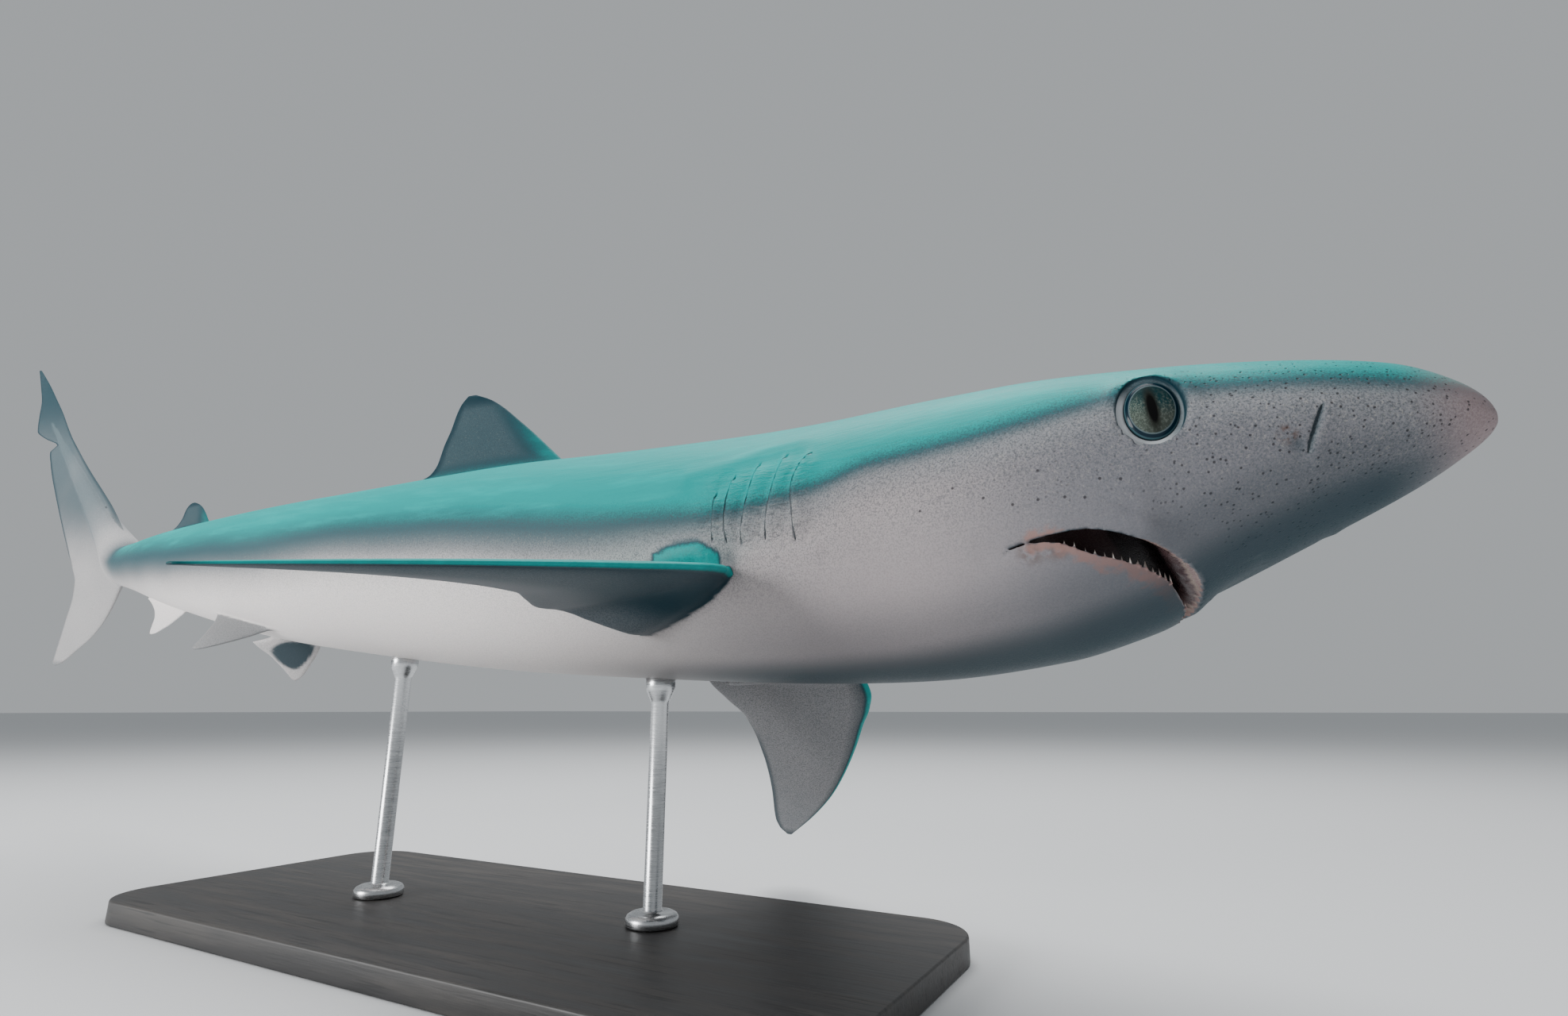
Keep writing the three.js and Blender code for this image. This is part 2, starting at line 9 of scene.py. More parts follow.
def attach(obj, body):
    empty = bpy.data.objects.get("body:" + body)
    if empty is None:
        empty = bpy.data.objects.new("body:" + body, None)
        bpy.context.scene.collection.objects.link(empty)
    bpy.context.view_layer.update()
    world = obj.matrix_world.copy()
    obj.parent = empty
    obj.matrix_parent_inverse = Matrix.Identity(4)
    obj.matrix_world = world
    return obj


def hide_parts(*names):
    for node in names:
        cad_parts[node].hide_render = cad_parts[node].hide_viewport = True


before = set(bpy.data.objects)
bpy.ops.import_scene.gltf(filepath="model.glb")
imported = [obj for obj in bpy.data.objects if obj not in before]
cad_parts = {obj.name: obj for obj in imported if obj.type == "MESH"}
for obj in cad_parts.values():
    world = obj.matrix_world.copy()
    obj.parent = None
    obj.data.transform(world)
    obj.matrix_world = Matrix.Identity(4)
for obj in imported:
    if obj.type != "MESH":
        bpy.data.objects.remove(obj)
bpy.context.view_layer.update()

# ---------------------------------------------------------------- camera, floor and lights
# The shark hangs on its stand in a plain pale studio. The camera is low, ahead of its right
# shoulder, and looks up at it a little. A wide soft light hangs overhead, as the sky would.
camera_data = bpy.data.cameras.new("camera")
camera_data.sensor_width = 36.0
camera_data.lens = 18.22
camera = bpy.data.objects.new("camera", camera_data)
camera.location = (0.4566, -0.4313, 0.150)
camera.rotation_euler = (math.radians(104.2), 0.0, math.radians(28.8))
bpy.context.collection.objects.link(camera)
bpy.context.scene.camera = camera


def node(tree, kind, inputs=None, **settings):
    """Adds one shader node, with its inputs joined or set, and gives its outputs."""
    made = tree.nodes.new(kind)
    for name, value in settings.items():
        setattr(made, name, value)
    for name, value in (inputs or {}).items():
        if isinstance(value, bpy.types.NodeSocket):
            tree.links.new(value, made.inputs[name])
        else:
            made.inputs[name].default_value = value
    return made.outputs


def new_finish(name):
    """A material with only its Principled shader, and that shader."""
    material = bpy.data.materials.new(name)
    material.use_nodes = True
    return material, material.node_tree, material.node_tree.nodes["Principled BSDF"]


def piece(name, bm, *finishes):
    """Turns a finished bmesh into an object in the scene, smooth shaded."""
    mesh = bpy.data.meshes.new(name)
    bm.to_mesh(mesh)
    bm.free()
    mesh.polygons.foreach_set("use_smooth", [True] * len(mesh.polygons))
    made = bpy.data.objects.new(name, mesh)
    for finish in finishes:
        mesh.materials.append(finish)
    bpy.context.collection.objects.link(made)
    return made


FLOOR_COLOUR = (0.62, 0.63, 0.64, 1.0)
floor_finish, _, floor_shader = new_finish("studio_floor")
floor_shader.inputs["Base Color"].default_value = FLOOR_COLOUR
floor_shader.inputs["Roughness"].default_value = 0.9
floor_bm = bmesh.new()
bmesh.ops.create_grid(floor_bm, x_segments=1, y_segments=1, size=40.0)
floor = piece("floor", floor_bm, floor_finish)

world = bpy.data.worlds.new("studio")
world.use_nodes = True
world.node_tree.nodes["Background"].inputs["Color"].default_value = (0.80, 0.84, 0.87, 1.0)
world.node_tree.nodes["Background"].inputs["Strength"].default_value = 0.50
bpy.context.scene.world = world

for light_name, power, size, place, aim in (
    ("overhead", 95.0, 2.6, (-0.1, 0.4, 2.6), (0.0, 0.0, 0.25)),
    ("side", 62.0, 1.2, (-1.5, -2.0, 0.7), (-0.5, 0.0, 0.3)),
):
    light_data = bpy.data.lights.new(light_name, "AREA")
    light_data.energy = power
    light_data.size = size
    light_data.shape = "DISK"
    light = bpy.data.objects.new(light_name, light_data)
    light.location = place
    light.rotation_euler = (Vector(aim) - Vector(place)).to_track_quat("-Z", "Y").to_euler()
    bpy.context.collection.objects.link(light)

# ---------------------------------------------------------------- the body
# The trunk of a young blue shark: one long muscular spindle under tough rough skin, from the
# snout to the tip of the tail's backbone. It is drawn as one tube of skin over rings that
# follow the swimming bend. Sizes are in % of the total length, as fish are measured.
PERCENT = 0.016
SNOUT = 0.12
HEADING = [[0, 6.7], [12, 6.7], [26, -1.1], [42, -10.5], [60, 1.7], [73, 11.5], [76, -2.6], [99, -2.6]]
PITCH = [[0, 3.4], [12, 3.4], [26, -2.2], [42, -2.5], [60, -5.5], [74, -6], [76.8, -38], [99, -40]]
ROLL = [[0, 18], [22, 18], [34, 11], [46, 7], [60, 3.5], [74, 0], [99, 0]]
BACK = [[0.12, 0], [0.8, 1.22], [2, 1.98], [4, 2.39], [8, 3.09], [12, 3.72], [17, 4.32], [24, 4.69],
        [34, 4.84], [48, 3.66], [62, 2.28], [70, 1.66], [75, 1.46], [80, 1], [86, 0.75], [93, 0.4],
        [99, 0.1]]
BELLY = [[0.12, 0], [0.8, 0.6], [2, 1.18], [4, 1.87], [7, 3.13], [7.7, 3.5], [8.3, 4.03], [10, 4.62],
         [12, 5.06], [17, 5.41], [24, 5.37], [34, 5.22], [48, 4.29], [62, 2.71], [70, 1.85], [75, 1.52],
         [80, 1.2], [86, 0.8], [93, 0.45], [99, 0.1]]
FLANK = [[0.12, 0], [0.8, 1.14], [2, 1.98], [4, 2.99], [8, 4.08], [12, 4.76], [17, 4.98], [24, 5.02],
         [34, 4.75], [48, 3.83], [62, 2.5], [70, 1.82], [75, 1.51], [80, 0.85], [86, 0.45], [93, 0.2],
         [99, 0.06]]
BACK_POWER = [[0, 2], [4, 2.15], [8, 2.25], [12, 2.2], [24, 2], [99, 2]]
BELLY_POWER = [[0, 2], [2, 2.15], [4, 2.3], [8, 2.35], [12, 2.3], [17, 2.15], [24, 2], [99, 2]]
STAND_STATIONS = (28.5, 43)
AXIS_HEIGHT = 0.2595
LAST_STATION = 97.0


def along(knots, place):
    """The value of a smooth curve through [place, value] knots. It never swings past a knot."""
    last = len(knots) - 2
    k = 0
    while k < last and knots[k + 1][0] <= place:
        k += 1

    def secant(i):
        return (knots[i + 1][1] - knots[i][1]) / (knots[i + 1][0] - knots[i][0])

    def slope(i):
        if i == 0 or i > last:
            return secant(min(i, last))
        a, b = secant(i - 1), secant(i)
        return 2 * a * b / (a + b) if a * b > 0 else 0.0

    width = knots[k + 1][0] - knots[k][0]
    p = min(max((place - knots[k][0]) / width, 0.0), 1.0)
    rise = p * p * (3 - 2 * p)
    bulge = width * p * (1 - p) * (slope(k) * (1 - p) - slope(k + 1) * p)
    return knots[k][1] + (knots[k + 1][1] - knots[k][1]) * rise + bulge


def fade(low, high, value):
    """0 below low, 1 above high, and a smooth rise between them."""
    p = min(max((value - low) / (high - low), 0.0), 1.0)
    return p * p * (3 - 2 * p)


def girth(knots, station):
    """A girth in % of length. It runs against the root of the station, which rounds the snout."""
    rooted = [[math.sqrt(max(at - SNOUT, 0)), value] for at, value in knots]
    return along(rooted, math.sqrt(max(station - SNOUT, 0)))


@functools.lru_cache(maxsize=None)
def section(station):
    """Back, belly and flank of the body at a station, and how square it is above and below."""
    return (girth(BACK, station), girth(BELLY, station), girth(FLANK, station),
            along(BACK_POWER, station), along(BELLY_POWER, station))


def bearing(heading, pitch, roll):
    """The forward, right and up directions at a heading, a pitch and a roll in degrees."""
    turn, climb, bank = (math.radians(angle) for angle in (heading, pitch, roll))
    level = Vector((-math.sin(turn), -math.cos(turn), 0))
    forward = Vector((math.cos(turn), -math.sin(turn), 0)) * math.cos(climb)
    forward.z = math.sin(climb)
    right = level * math.cos(bank) + level.cross(forward) * math.sin(bank)
    return forward, right, right.cross(forward)


@functools.lru_cache(maxsize=None)
def facing(station):
    return bearing(along(HEADING, station), along(PITCH, station), along(ROLL, station))


STEP = 0.1
axis = [Vector((0, 0, 0))]
for k in range(round(99 / STEP)):
    axis.append(axis[-1] - facing(STEP * (k + 0.5))[0] * STEP * PERCENT)
stand_middle = sum((axis[round(at / STEP)] for at in STAND_STATIONS), Vector()) / 2
axis = [point - stand_middle + Vector((0, 0, AXIS_HEIGHT)) for point in axis]


@functools.lru_cache(maxsize=None)
def axis_at(station):
    place = min(max(station / STEP, 0.0), len(axis) - 1.0)
    k = min(int(place), len(axis) - 2)
    return axis[k].lerp(axis[k + 1], place - k)


def spot(station, height, right):
    """A place given by its station, height over the axis and distance to the right of it."""
    way = facing(station)
    return axis_at(station) + way[2] * height * PERCENT + way[1] * right * PERCENT


def flank_at(station, height):
    """How far the flank stands out at a height."""
    back, belly, flank, back_power, belly_power = section(station)
    reach, power = (back, back_power) if height > 0 else (belly, belly_power)
    level = min(abs(height) / max(reach, 1e-6), 1.0)
    return flank * (1 - level ** power) ** (1 / power)


def outward(station, height, side):
    """The skin's outward direction on the flank."""
    def at(s, h):
        return spot(s, h, side * flank_at(s, h))
    backwards = at(station + 0.2, height) - at(station - 0.2, height)
    upwards = at(station, height + 0.2) - at(station, height - 0.2)
    return (backwards.cross(upwards) * -side).normalized()


# The five gill slits, as (station, height) points from top to bottom, and the flap of skin
# ahead of each one, which stands a little proud and lies back over the opening.
GILL_SLITS = [
    [(18.5, 0.8), (18.85, 0.35), (19.05, -0.15), (19.08, -0.75), (18.94, -1.45), (18.88, -2.4)],
    [(19.64, 0.86), (19.8, 0.3), (19.93, -0.4), (20.03, -1.1), (20.15, -2.28)],
    [(20.8, 0.63), (20.92, 0), (21.02, -0.8), (21.12, -1.6), (21.19, -2.26)],
    [(21.87, 0.26), (21.93, -0.5), (21.93, -1.2), (21.85, -2.2)],
    [(22.6, -0.4), (22.52, -0.95), (22.5, -1.5), (22.48, -2.08)],
]
FLAP_RISE = 2.4     # mm
FLAP_LENGTH = 0.85  # % of length

# The mouth's lips, as (station, height) points from the corner to the front.
UPPER_LIP = [(12, -3.58), (11.6, -3.49), (11.1, -3.38), (10.5, -3.28), (10, -3.22), (9.5, -3.21),
             (9, -3.27), (8.4, -3.38), (7.9, -3.42), (7.6, -3.41), (7.45, -3.37), (7.38, -3.4),
             (7.36, -3.6)]
LOWER_LIP = [(12, -3.58), (11.6, -3.47), (11.1, -3.39), (10.5, -3.41), (10.2, -3.48), (9.9, -3.58),
             (9.6, -3.68), (9.1, -3.74), (8.6, -3.82), (8.3, -3.86), (8.15, -3.86), (8.07, -3.9),
             (8.06, -4.1)]

# The muscle over the root of the pectoral fin, which is blue like the fin.
SHOULDER = [(22.5, -2.75), (23.2, -2.42), (24.2, -2.42), (25.1, -2.65)]

# The soft folds of the skin: each is a line with how far it stands out (mm) and how wide it is (%).
FOLDS = [
    ([(10.6, -2.95), (9.5, -2.9), (8.5, -3.02), (7.6, -3.1)], 0.7, 0.22),
    ([(8.6, -2.7), (7.9, -2.86), (7.1, -2.84), (6, -2.5)], -0.8, 0.17),
    ([(12, -3.59), (12.3, -3.61), (12.65, -3.63)], -1.2, 0.13),
    ([(22.6, -0.4), (22.55, 0), (22.3, 0.25), (21.9, 0.26)], -1.2, 0.14),
    (SHOULDER, 3.6, 0.4),
    ([(19.2, 1.6), (20.6, 1.5), (22.4, 0.9), (24.5, 0.6)], 1.2, 0.4),
    ([(18, -2.9), (19.8, -2.75), (21.4, -2.7)], 0.9, 0.3),
]
NOSTRIL = [(3.71, -0.38), (3.85, -0.7), (3.99, -0.98), (4.13, -1.22), (4.26, -1.46)]
EYE_STATION, EYE_HEIGHT = 7.57, -0.06
BROW = 2.6          # mm that the skin rises over the eye
EYE_HOLLOW = 1.1    # mm that it sinks below it


def from_line(points, station, height):
    """Distance from a line of points, how far along it (0 to 1), and how far ahead of it."""
    best = (1e9, 0.0, 0.0)
    for k in range(len(points) - 1):
        (s0, h0), (s1, h1) = points[k], points[k + 1]
        ds, dh = s1 - s0, h1 - h0
        p = min(max(((station - s0) * ds + (height - h0) * dh) / (ds * ds + dh * dh), 0.0), 1.0)
        gap = (s0 + ds * p - station, h0 + dh * p - height)
        far = math.hypot(*gap)
        if far < best[0]:
            best = (far, (k + p) / (len(points) - 1), gap[0])
    return best


def nostril_pit(station, height):
    """The shallow pit behind the nostril's lower end, under its flap: 1 in its middle, 0 outside."""
    return math.exp(-((station - 4.45) ** 2 + (height + 1.34) ** 2) / 0.025)


def relief(station, height, right):
    """How far the skin stands off the plain body at a place, in mm."""
    lift = 0.0
    if 16.5 < station < 24 and abs(right) > 2:
        for points in GILL_SLITS:
            far, share, ahead = from_line(points, station, height)
            window = fade(0, 0.12, share) * fade(1, 0.85, share) if 0 < share < 1 else 0.0
            lift += FLAP_RISE * window * fade(-0.15, 0.0, ahead) * max(0.0, 1 - far / FLAP_LENGTH) ** 1.5
            lift -= 0.9 * window * fade(0.0, -0.15, ahead) * math.exp(-(far / 0.3) ** 2)
    if station < 26 and abs(right) > 0.5:
        for points, rise, width in FOLDS:
            far, share, _ = from_line(points, station, height)
            taper = 1 if 0 < share < 1 else 0.6
            lift += rise * taper * math.exp(-(far / width) ** 2)
    if station < 6 and abs(right) > 1:
        far, share, ahead = from_line(NOSTRIL, station, height)
        lift += (1.4 * fade(-0.12, 0.06, ahead) - 0.5) * math.exp(-(far / 0.24) ** 2)
        lift -= 1.6 * nostril_pit(station, height)
    if abs(right) > 2 and 5 < station < 10:
        far = math.hypot(station - EYE_STATION, height - EYE_HEIGHT)
        above = (height - EYE_HEIGHT) / max(far, 0.1)
        lift += 0.5 * math.exp(-((far - 1.12) / 0.14) ** 2)
        ring = math.exp(-((far - 1.0) / 0.5) ** 2)
        lift += ring * (BROW * fade(-0.3, 0.9, above) - EYE_HOLLOW * fade(-0.3, 0.9, -above))
    if station > 71:
        lift += 1.4 * fade(71, 74, station) * fade(78, 75.5, station) * math.exp(-(height / 0.35) ** 2)
        lift -= 3.0 * math.exp(-((station - 75.3) / 0.5) ** 2) * fade(0.9, 1.4, height)
    return lift


# Marks that the skin's finish reads: tone is the height over the line between dark back and
# pale belly, trail runs from snout to tail, and the rest are shares from 0 to 1. fused marks the
# skin that is rubbed smooth where another shape joins it. The darkening mark holds both the dark
# margins of the fins and painted shadow: under the head, in the mouth, slits, nostrils and
# sockets, in front of the pectoral fins and on the paired fins.
MARKS = ("tone", "trail", "flesh", "lip", "tooth", "shade", "pore", "gill", "lid", "fused")
DARK_LINE = [[0.6, 0.3], [3, 0.34], [6.5, 0.47], [8.7, 0.45], [10.7, 0.1], [13, -0.2], [16, -0.3],
             [18, -0.75], [22.5, -1.2], [26.5, -1.05], [31, -0.6], [35, -0.17], [40, 0.13], [45, 0.24],
             [51, -0.03], [60, -0.06], [75, 0.1], [99, 0.1]]


def tail_tone(reach):
    """The tail fin is grey low down and bluer towards the tip of its upper lobe."""
    return -1.6 + 0.9 * fade(-1, 5, reach) + 0.35 * fade(8, 15, reach)


def wrapped(rows, around, place):
    """A closed skin over rows of a grid, each row a ring. place gives a point and its marks."""
    bm = bmesh.new()
    layers = {name: bm.verts.layers.float.new(name) for name in MARKS}
    bmesh.ops.create_grid(bm, x_segments=rows, y_segments=around, size=0.5)
    for vert in bm.verts:
        row, turn = round((vert.co.x + 0.5) * rows), round((vert.co.y + 0.5) * around) % around
        vert.co, marks = place(row, 2 * math.pi * turn / around)
        for name, value in marks.items():
            vert[layers[name]] = value
    bmesh.ops.remove_doubles(bm, verts=bm.verts, dist=1e-6)
    bmesh.ops.holes_fill(bm, edges=[edge for edge in bm.edges if edge.is_boundary], sides=0)
    bmesh.ops.recalc_face_normals(bm, faces=bm.faces)
    return bm


RING_SPACING = [[0.12, 0.03], [1, 0.09], [6.5, 0.09], [12.5, 0.09], [15, 0.2], [17, 0.2], [18.2, 0.09],
                [22.8, 0.09], [24, 0.16], [29, 0.55], [70, 0.6], [74, 0.3], [78, 0.35], [97, 0.7]]
RING_SIDES = 168
LOWER_SIDE = 0.35  # how much closer the ring's points stand below than above
ring_stations = [SNOUT]
while ring_stations[-1] < LAST_STATION:
    ring_stations.append(ring_stations[-1] + along(RING_SPACING, ring_stations[-1]))


def lean_of(reach, radius, power, sign):
    """How much the skin faces one way, at a reach along that way's radius."""
    radius = max(radius, 0.01)
    return math.copysign((abs(reach) / radius) ** (power - 1) / radius, sign)


def body_skin(row, angle):
    """A point of the skin and its marks. It is lifted off the plain body by the relief."""
    station = ring_stations[row]
    angle -= LOWER_SIDE * math.cos(angle)
    across, over = math.cos(angle), math.sin(angle)
    back, belly, flank, back_power, belly_power = section(station)
    rise, power = (back, back_power) if over > 0 else (belly, belly_power)
    right = flank * math.copysign(abs(across) ** (2 / power), across)
    height = rise * math.copysign(abs(over) ** (2 / power), over)
    way = facing(station)
    slant = way[1] * lean_of(right, flank, power, across) + way[2] * lean_of(height, rise, power, over)
    point = spot(station, height, right)
    if slant.length > 0:
        point += slant.normalized() * relief(station, height, right) / 1000
    snout = fade(9.5, 6.5, station) * fade(-3.4, -2.4, height) * fade(1.7, 1.1, height)
    cheek = 0.35 * fade(15, 11, station) * fade(-3.2, -2.2, height) * fade(0.6, -0.2, height)
    gills = fade(17.8, 19, station) * fade(24, 22.6, station)
    gills *= fade(-2.8, -1.9, height) * fade(0.8, 0, height)
    bare = 0.0
    if 7.2 < station < 12.7 and -4.3 < height < -2.9:
        bare = fade(0.6, 0.0, from_line(LOWER_LIP, station, height)[0]) * fade(11.8, 10.8, station)
    tone = height - along(DARK_LINE, station)
    if 22 < station < 27:
        tone += (0.7 - tone) * fade(0.5, 0.25, from_line(SHOULDER, station, height)[0])
    # Painted shadow in front of the pectoral fin's root.
    armpit_shadow = math.exp(-((station - 21.8) / 0.4) ** 2 - ((height + 2.8) / 0.45) ** 2)
    # Painted shadow under the head: skin that faces down is painted darker, most at the lowest edge, fading
    # out along the front of the trunk.
    down = slant.normalized().z
    under = 0.28 * fade(-0.4, -0.8, down) + 0.7 * fade(-0.80, -0.985, down)
    under *= fade(34, 20, station) * fade(0.5, 3, station)
    return point, {
        # Here the darkening is all painted shadow: under the head, in the nostril's pit and before the fin
        # root.
        "shade": max(under, 0.5 * nostril_pit(station, height), 0.6 * armpit_shadow),
        "tone": tone + (tail_tone((station - 75) * 0.6) - tone) * fade(71, 78, station),
        "trail": station / 100,
        "lip": bare,
        "pore": max(snout, cheek),
        "gill": gills,
        "fused": 1.0,
    }


skin = piece("skin", wrapped(len(ring_stations) - 1, RING_SIDES, body_skin))


def join(target, tool, how):
    """Joins a tool shape to the skin, or cuts it away, for good."""
    change = target.modifiers.new(tool.name, "BOOLEAN")
    change.object = tool
    change.operation = how
    change.solver = "MANIFOLD"
    graph = bpy.context.evaluated_depsgraph_get()
    mesh = bpy.data.meshes.new_from_object(target.evaluated_get(graph))
    target.modifiers.clear()
    target.data = mesh
    bpy.data.objects.remove(tool)


# ---------------------------------------------------------------- the mouth
# The mouth is a wide curved slit under the snout, held a little open. Its lips are bare skin
# folded inwards over pink gums, and the palate and the floor of the mouth fall away behind. Deeper
# in they are painted near black as painted shadow, and a band far back on the palate is painted a
# lighter purple as painted light.
VAULT = 1.0         # how far the palate rises over the upper lip, in % of length
MOUTH_DEPTH = 0.75  # how far the floor lies under the lower lip
MOUTH_REACH = 5.0   # how far the hollow is carried to each side, past the flanks
MOUTH_FRONT = 7.4   # the stations where the upper and the lower jaw begin
JAW_FRONT = 8.1
LIP = 0.14          # how thick the lips are
UPPER_GUM = [[7.4, 1.0], [8.2, 0.8], [9, 0.25], [9.6, 0.08], [12, 0.08]]
LOWER_GUM = 0.25


def through(points, share):
    """The point at a share of a smooth line through points."""
    at = min(max(share, 0.0), 1.0) * (len(points) - 1)
    k = min(int(at), len(points) - 2)
    p = at - k
    around = [min(max(i, 0), len(points) - 1) for i in range(k - 1, k + 3)]
    before, start, end, after = (Vector(points[i]) for i in around)
    return start + ((end - before) * p + (2 * before - 5 * start + 4 * end - after) * p * p
                    + (3 * start - before - 3 * end + after) * p ** 3) / 2


OUTLINE_ROWS = 88
MOUTH_SLICES = 96


def mouth_hollow(row, angle):
    """Rows run across the head. Each ring runs along the upper lip and back along the lower."""
    right = MOUTH_REACH * (2 * row / MOUTH_SLICES - 1)
    turn = angle / (2 * math.pi)
    deep = pale = 0.0
    if turn < 0.42:
        station, height = through(UPPER_LIP, turn / 0.42)
        inner = min(flank_at(station, height) - abs(right), station - MOUTH_FRONT)
        gum = along(UPPER_GUM, station)
        deep = fade(gum, gum + 0.6, inner) * fade(12, 11.2, station)
        height += VAULT * deep + LIP * fade(0.02, 0.3, inner) * fade(12, 11.4, station)
        front = fade(8.9, 8.3, station)
        pale = front * max(0.6 * fade(0.3, 0.16, inner) * fade(0.02, 0.1, inner),
                           math.exp(-((inner - 0.32) / 0.05) ** 2))
        # Painted shadow: the palate darkens behind the front and where it lies deep. Far in, a band is
        # painted lighter as painted light.
        shade = max(fade(8.4, 8.8, station), deep, 0.36 * fade(0.2, 0.4, inner))
        shade -= 0.6 * fade(0.4, 0.55, inner) * fade(9.2, 9.8, station)
    elif turn < 0.5:
        station, height = 7.36 + 3 * (turn - 0.42), -3.6 - 42 * (turn - 0.42)
        shade = 0.0
    elif turn < 0.55:
        station, height = 7.6 + 9.2 * (turn - 0.5), -6.96 + 57 * (turn - 0.5)
        shade = 0.0
    else:
        station, height = through(LOWER_LIP, (1 - turn) / 0.45)
        lowest = height - MOUTH_DEPTH - 0.1
        inner = min(flank_at(station, height) - abs(right), station - JAW_FRONT)
        room = min(flank_at(station, lowest) - abs(right), station - 8.4)
        deep = fade(LOWER_GUM, LOWER_GUM + 0.45, room) * fade(12, 11.2, station)
        height -= MOUTH_DEPTH * deep + 0.5 * LIP * fade(0.1, 0.3, inner) * fade(12, 11.4, station)
        # Painted shadow: the floor darkens where it lies deep.
        shade = max(deep, 0.35 * fade(0.1, 0.25, inner))
    inside = 1.0 if flank_at(station, height) > abs(right) else 0.0
    return spot(station, height, right), {
        "flesh": inside,
        "tone": -3.0,
        "trail": station / 100,
        "shade": shade,
        "lip": pale,
        "fused": 1.0,
    }


mouth = piece("mouth", wrapped(MOUTH_SLICES, OUTLINE_ROWS, mouth_hollow))
join(skin, mouth, "DIFFERENCE")

# ---------------------------------------------------------------- gill slits, nostrils and eye sockets
# Five gill slits and one nostril are cut into each side of the head as thin openings that run
# inwards and forwards under a flap. The eye sits in a shallow round socket with a dark rim. The
# walls of the openings are painted darker the deeper they go, and the top of each socket is painted
# dark, as painted shadow.
SLIT_WIDTH = 0.75      # mm, half
SLIT_DEPTH = 5.0       # mm
NOSTRIL_WIDTH = 1.25   # mm, half
NOSTRIL_DEPTH = 3.5    # mm
SOCKET_RADIUS = 14.4   # mm
SOCKET_SUNK = 2.4      # mm below the flank
SOCKET_REACH = 8.0     # mm that the cut is carried out past the skin
RIM_FROM = 0.975       # the share of the radius where the dark rim begins
SOCKET_PROFILE = [(1.0, -0.9), (0.985, -1.6), (0.95, -1.95), (0.9, -1.9), (0.84, -2.0), (0.78, -2.4),
                  (0.7, -3.2), (0.3, -4.6), (0.0, -5.0)]
EYE_TALL = 1.24        # the orbit and the eye are taller than they are long


def slit_blade(points, side, half_width, depth, lean, dark, soft_rim):
    """A thin blade down a line on the flank. lean slopes it forwards as it goes in."""
    rows = 6 * (len(points) - 1)

    def blade(row, angle):
        station, height = through(points, row / rows)
        taper = 0.25 + 0.75 * math.sin(math.pi * min(max(row / rows, 0.0), 1.0)) ** 0.6
        out = outward(station, height, side)
        forward = facing(station)[0]
        inwards = (forward * lean - out).normalized()
        reach = math.cos(angle) * depth * (0.35 + 0.65 * taper) / 1000
        point = (spot(station, height, side * flank_at(station, height)) + inwards * reach
                 + forward * math.sin(angle) * half_width * taper / 1000)
        # The walls are painted darker with depth, as painted shadow in the opening. dark sets how dark they
        # start at the skin.
        return point, {"shade": min(1.0, dark + 0.4 * fade(-0.5, 2.5, reach * 1000)), "tone": -0.5,
                       "trail": station / 100, "fused": soft_rim}

    return wrapped(rows, 10, blade)


def eye_centre(side, sunk, drawn=(0.0, 0.0)):
    """The middle of an eye, and the directions ahead, up and out of it. It looks a little forward
    and down of the flank. drawn shifts it ahead and up, in mm."""
    forward, _, up = facing(EYE_STATION)
    out = (outward(EYE_STATION, EYE_HEIGHT, side) + forward * 0.12 - up * 0.21).normalized()
    ahead = (up.cross(out) * side).normalized()
    up = (out.cross(ahead) * side).normalized()
    centre = spot(EYE_STATION, EYE_HEIGHT, side * flank_at(EYE_STATION, EYE_HEIGHT))
    return centre + (ahead * drawn[0] + up * drawn[1] - out * sunk) / 1000, ahead, up, out


def socket_hollow(side):
    centre, ahead, up, out = eye_centre(side, SOCKET_SUNK)

    def hollow(row, angle):
        if row == 0:
            radius, depth = 0.0, SOCKET_REACH
        elif row == 1:
            radius, depth = 1.0, SOCKET_REACH
        else:
            radius, depth = SOCKET_PROFILE[row - 2]
        slope = radius * SOCKET_RADIUS
        point = (centre + ahead * math.cos(angle) * slope / 1000
                 + up * math.sin(angle) * slope * EYE_TALL / 1000 + out * depth / 1000)
        lower = fade(-0.35, 0.45, math.cos(angle - math.radians(222)))
        upper = fade(0.2, 0.9, math.sin(angle))
        if radius >= RIM_FROM:
            pale, dark = 0.0, 0.95
        else:
            # The membrane is pale low down. The top of the socket is painted dark as painted shadow under
            # the brow.
            pale = (0.25 + 0.75 * lower) * (1 - 0.9 * upper)
            dark = max(0.9 * upper * fade(0.88, 0.94, radius), 0.35 * upper)
        return point, {"lid": pale, "shade": dark, "tone": -0.15, "trail": 0.07, "fused": 0.0}

    return wrapped(len(SOCKET_PROFILE) + 1, 72, hollow)


def gathered(name, shapes):
    """One object that holds several closed shapes and their marks."""
    whole = bmesh.new()
    for mark_name in MARKS:
        whole.verts.layers.float.new(mark_name)
    for shape in shapes:
        loose = bpy.data.meshes.new(name)
        shape.to_mesh(loose)
        shape.free()
        whole.from_mesh(loose)
        bpy.data.meshes.remove(loose)
    return piece(name, whole)


hollows = []
for side in (1, -1):
    hollows += [slit_blade(points, side, SLIT_WIDTH, SLIT_DEPTH, 0.9, 0.85, 0.0) for points in GILL_SLITS]
    hollows.append(slit_blade(NOSTRIL, side, NOSTRIL_WIDTH, NOSTRIL_DEPTH, -0.35, 0.3, 1.0))
    hollows.append(socket_hollow(side))
join(skin, gathered("openings", hollows), "DIFFERENCE")

